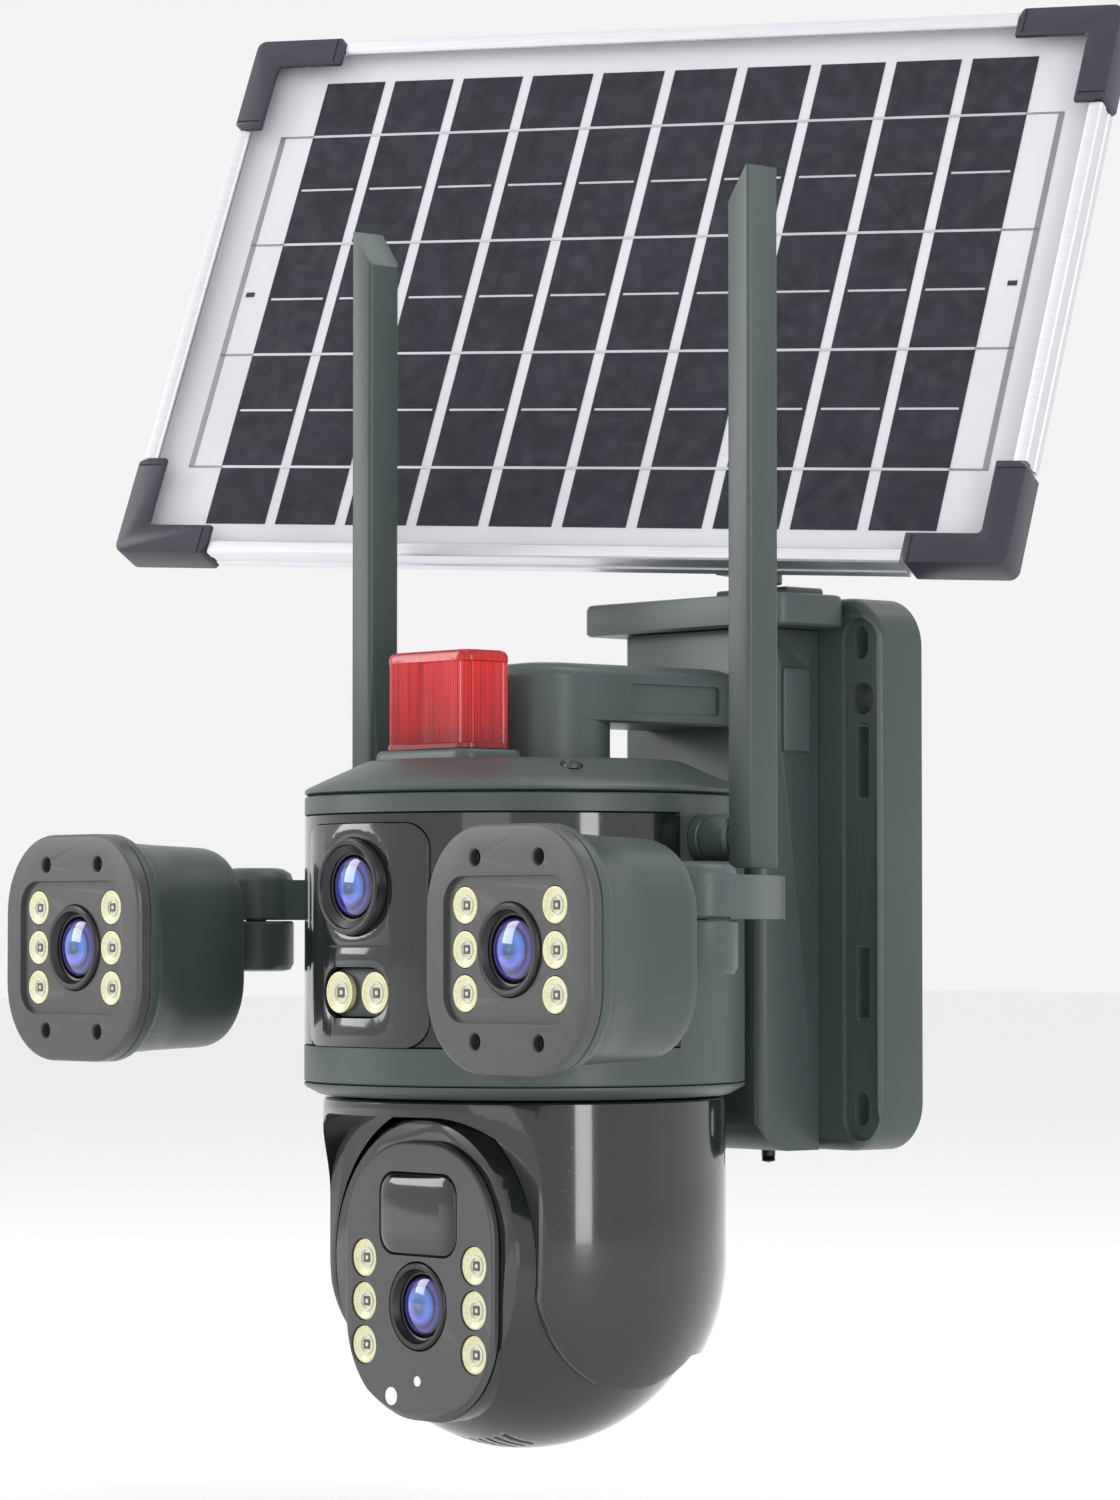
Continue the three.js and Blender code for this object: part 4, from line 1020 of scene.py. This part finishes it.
def hoop(profile, width, height):
    # a mitred ring round a rectangle; the profile is (inset, y) pairs that close on themselves
    mesh = bmesh.new()
    rings = []
    for inset, y in profile:
        x, z = width / 2 - inset, height / 2 - inset
        rings.append([mesh.verts.new(corner) for corner in ((-x, y, -z), (x, y, -z), (x, y, z), (-x, y, z))])
    for a, b in zip(rings, rings[1:] + rings[:1]):
        for i in range(4):
            j = (i + 1) % 4
            mesh.faces.new((a[i], a[j], b[j], b[i]))
    return draft(mesh)


def makePanelFrame():
    p = panel
    front, back = p["front"], p["front"] + p["depth"]
    lip = p["lip"]
    profile = [(0.5, front), (lip - 0.9, front), (lip - 0.4, front + 0.2), (lip, front + 0.7),
               (lip, front + 1.5),
               (1.8, front + 1.5), (1.8, back - 1.5), (12, back - 1.5), (12, back), (0.5, back),
               (0, back - 0.5),
               (0, front + 6.9), (0.45, front + 6.5), (0.45, front + 3.8), (0, front + 3.4), (0, front + 0.5)]
    rails = hoop(profile, p["width"], p["height"])
    x, z, deep = p["width"] / 2, p["height"] / 2, p["capWall"]
    reach = p["capArm"]
    caps = []
    for label, sx, sz in (("lower_left", -1, -1), ("lower_right", 1, -1), ("upper_left", -1, 1),
                          ("upper_right", 1, 1)):
        # drawn for the upper right corner and mirrored where it belongs
        notch = carve(block(x - reach - 0.3, front - 2, z - reach - 0.3, x + 2, back + 2, z + 2),
                      block(0, front + 0.9, 0, x - deep, back - 0.9, z - deep))
        wide = p["capWide"]
        outline = [(x - reach, z - wide), (x - reach, z - 3.2), (x - reach + 0.8, z - 0.5),
                   (x - reach + 1.6, z + 0.6)]
        outline += arc((x - 2.4, z - 2.4), 3.0, 90, 0, 8)
        outline += [(x + 0.6, z - reach + 1.6), (x - 0.5, z - reach + 0.8), (x - 3.2, z - reach),
                    (x - wide, z - reach), (x - wide, z - wide - 0.8), (x - wide - 0.8, z - wide)]
        body = slab(outline, -(back + 0.2), -(front - 1), toFront)
        core = block(0, front + 0.6, 0, x - deep + 0.3, back - 0.8, z - deep + 0.3)
        cap = carve(rounded(body, 0.5, 2, 30), core)
        # a shallow groove near the end of each arm
        for groove in (block(x - reach + 2.2, front - 2, z - wide + 1, x - reach + 3.0, front - 0.7, z + 2),
                       block(x - wide + 1, front - 2, z - reach + 2.2, x + 2, front - 0.7, z - reach + 3.0)):
            cap = carve(cap, groove)
        for piece in (notch, cap):
            piece.data.transform(Matrix.Diagonal((sx, 1, sz, 1)))
            if sx * sz < 0:
                piece.data.flip_normals()
        rails = carve(rails, notch)
        caps.append((label, cap))
    finishPiece(rails, "panelFrame", frameAlloy, "panel_tilt", ["panel_frame"], local=panelFrame,
                smooth=30)
    for label, cap in caps:
        name = "cornerCap" + "".join(part.capitalize() for part in label.split("_"))
        finishPiece(cap, name, capBlack, "panel_tilt", ["corner_cap_" + label],
                    local=panelFrame)


cells = dict(columns=10, rows=8, wide=243.0, tall=157.0, gap=3.6, stripOut=11)


def makeCells():
    p = panel
    inset = p["wall"] + 0.3
    x, z, y = p["width"] / 2 - inset, p["height"] / 2 - inset, p["front"] + 1.8
    glass = rounded(block(-x, y, -z, x, y + 3, z), 0.3)
    finishPiece(glass, "panelGlass", coverClear, "panel_tilt", ["panel_glass"],
                local=panelFrame)
    sheet = coated(block(-x, y + 3.5, -z, x, y + 4.6, z), backSheet)
    parts = [sheet]
    c = cells
    columns, rows, areaX, areaZ = c["columns"], c["rows"], c["wide"], c["tall"]
    pitchX, pitchZ = (areaX + c["gap"]) / columns, areaZ / rows
    cellWide = pitchX - c["gap"]
    face = y + 3.32
    left = -areaX / 2
    for i in range(columns):
        x0 = left + i * pitchX
        parts.append(coated(block(x0, face + 0.02, -areaZ / 2, x0 + cellWide, face + 0.2, areaZ / 2),
                            cellBlue))
        for k in range(1, rows):
            level = areaZ / 2 - k * pitchZ
            joins = k % 2 == 1
            edge = 1.2 if not joins else -1.9
            thick = 0.42 if joins else 0.34
            parts.append(coated(block(x0 + edge, face, level - thick, x0 + cellWide - edge, face + 0.1,
                                      level + thick), ribbonSilver))
    # side strips join every other ribbon
    for sign in (-1, 1):
        strip = areaX / 2 + c["stripOut"]
        x0, x1 = sorted((sign * (strip - 0.9), sign * (strip + 0.9)))
        top, low = areaZ / 2 - pitchZ, -areaZ / 2 + pitchZ
        parts.append(coated(block(x0, face, low, x1, face + 0.16, top), ribbonGrey))
        for k in range(1, rows, 2):
            level = areaZ / 2 - k * pitchZ
            a, b = sorted((sign * (areaX / 2 - 0.5), sign * (strip + 0.9)))
            parts.append(coated(block(a, face, level - 0.3, b, face + 0.1, level + 0.3), ribbonGrey))
        a, b = sorted((sign * (strip - 5.5), sign * (strip - 2.5)))
        parts.append(coated(block(a, face, 1.0, b, face + 0.1, 2.6), holeBlack))
    finishPiece(gather(parts), "panelCells", None, "panel_tilt", ["panel_cells"],
                local=panelFrame)
    box = rounded(block(-88, y + 4.9, 20, -40, p["front"] + p["depth"] + 3, 58), 1.2, 3)
    lidLine = carve(block(-95, y + 6.6, 10, -30, y + 7.0, 70), block(-87.6, y, 20.4, -40.4, y + 9, 57.6))
    finishPiece(carve(box, lidLine), "junctionBox", barrelBlack, "panel_tilt", ["junction_box"],
                local=panelFrame)


def makePanelMount():
    p = panel
    back = p["front"] + p["depth"]
    rise = hinge["place"][2]
    foot = rounded(block(-15, -17.6, 79.8, 15, -2, 83.8), 1.0, 3)
    for sign in (-1, 1):
        screw = moved(rod(2.6, 82.7, 90, 32), sign * 11, -9.8, 0)
        foot = carve(foot, screw)
    pin = moved(rod(2.8, 84, rise - 10, 32), 0, -15, 0)
    finishPiece(weld(foot, pin), "panelPost", slateShell, "wall_mount", ["panel_post"])

    disc = lathe([(0, -15), (7.1, -15), (7.5, -14.6), (7.5, -8.4), (7.1, -8), (0, -8)], 64)
    pinHole = rod(3.1, -17, -9.7, 32)
    bridge = block(-11, -4.5, -12, 11, 4.5, -8)
    ears = []
    for hand in (-1, 1):
        ears.append(block(hand * 9 - 2, -4.5, -10, hand * 9 + 2, 4.5, 0))
        ears.append(rod(4.5, hand * 9 - 2, hand * 9 + 2, 48, toSide))
    bolt = rod(2.2, -8, 8, 32, toSide)
    head = rounded(weld(carve(weld(disc, bridge), pinHole), *ears, bolt), 0.3)
    finishPiece(head, "panelHead", slateShell, "panel_turn", ["panel_head"], local=headFrame)

    eye = rod(4.5, -6.5, 6.5, 48, toSide)
    lug = block(-6.5, back + 2, -4, 6.5, 0, 4)
    strap = slab(roundRect(28, 174, 3, 8, (0, 69)), -(back + 2.8), -(back + 0.3), toFront)
    ribs = [block(x - 1, back + 2.5, 8, x + 1, back + 4.6, 140) for x in (-9, 9)]
    strap = weld(strap, *ribs)
    strap.data.transform(Matrix.Rotation(math.radians(hinge["roll"]), 4, "Y"))
    bore = rod(2.5, -20, 20, 32, toSide)
    bracket = rounded(carve(weld(strap, lug, eye), bore), 0.3)
    finishPiece(bracket, "panelBracket", slateShell, "panel_tilt", ["panel_bracket"],
                local=tiltFrame)


def makePanelFinishes():
    sheet = Finish("backSheet", (0.66, 0.66, 0.70), 0.40)
    weave = sheet.noise(900, 2)
    cloud = sheet.noise(14, 3)
    sheet.set(color=sheet.blend(cloud, (0.60, 0.60, 0.66), (0.72, 0.72, 0.75)), rough=0.28 + weave * 0.12,
              normal=sheet.bump(weave, 0.15, 0.0001))
    cell = Finish("cellBlue", (0.009, 0.009, 0.020), 0.34)
    cell.shader.inputs["Specular IOR Level"].default_value = 0.12
    grain = cell.noise(60, 3)
    fine = cell.noise(1600, 2)
    tone = cell.ramp(grain, (0.3, (0.005, 0.005, 0.010)), (0.7, (0.010, 0.010, 0.026)))
    cell.set(color=tone, rough=0.30 + fine * 0.12, normal=cell.bump(fine, 0.06, 0.00005))
    silver = brushedMetal("ribbonSilver", (0.62, 0.62, 0.66), rough=0.4)
    grey = brushedMetal("ribbonGrey", (0.30, 0.30, 0.34), rough=0.45)
    clear = Finish("coverClear", (0.9, 0.92, 0.94), 0.06)
    dust = clear.noise(240, 4)
    clear.set(rough=0.05 + dust * 0.06, alpha=clear.ramp(dust, (0.45, (0.012, 0.012, 0.012)),
                                                         (0.8, (0.03, 0.03, 0.03))))
    return sheet, cell, silver, grey, clear


beaconRed = makeBeaconRed()
backSheet, cellBlue, ribbonSilver, ribbonGrey, coverClear = makePanelFinishes()
makeArm()
makeBeacon()
makeWallPlate()
makeCase()
makePanelFrame()
makeCells()
makePanelMount()
print("arm, beacon, wall box and panel ready")


# finishes for the parts that stay as they are inside the camera
def finishInside():
    green = mouldedPlastic("boardGreen", (0.018, 0.085, 0.035), rough=0.4, grain=900)
    wrapBlue = mouldedPlastic("cellWrap", (0.05, 0.14, 0.36), rough=0.3, grain=700, coat=0.3)
    speakerBlack = mouldedPlastic("speakerBlack", (0.02, 0.02, 0.02), rough=0.5)
    inner = dict(charge_board=green, upper_sensor_board=green, dome_sensor_board=green, main_board=green,
                 beacon_board=green, battery_cell_left=wrapBlue, battery_cell_right=wrapBlue,
                 alarm_speaker=speakerBlack, pan_motor=screwSteel, tilt_motor=screwSteel)
    for node, finish in inner.items():
        for slot in bpy.data.objects[node].material_slots:
            slot.material = finish.material


finishInside()
print("inner parts finished")
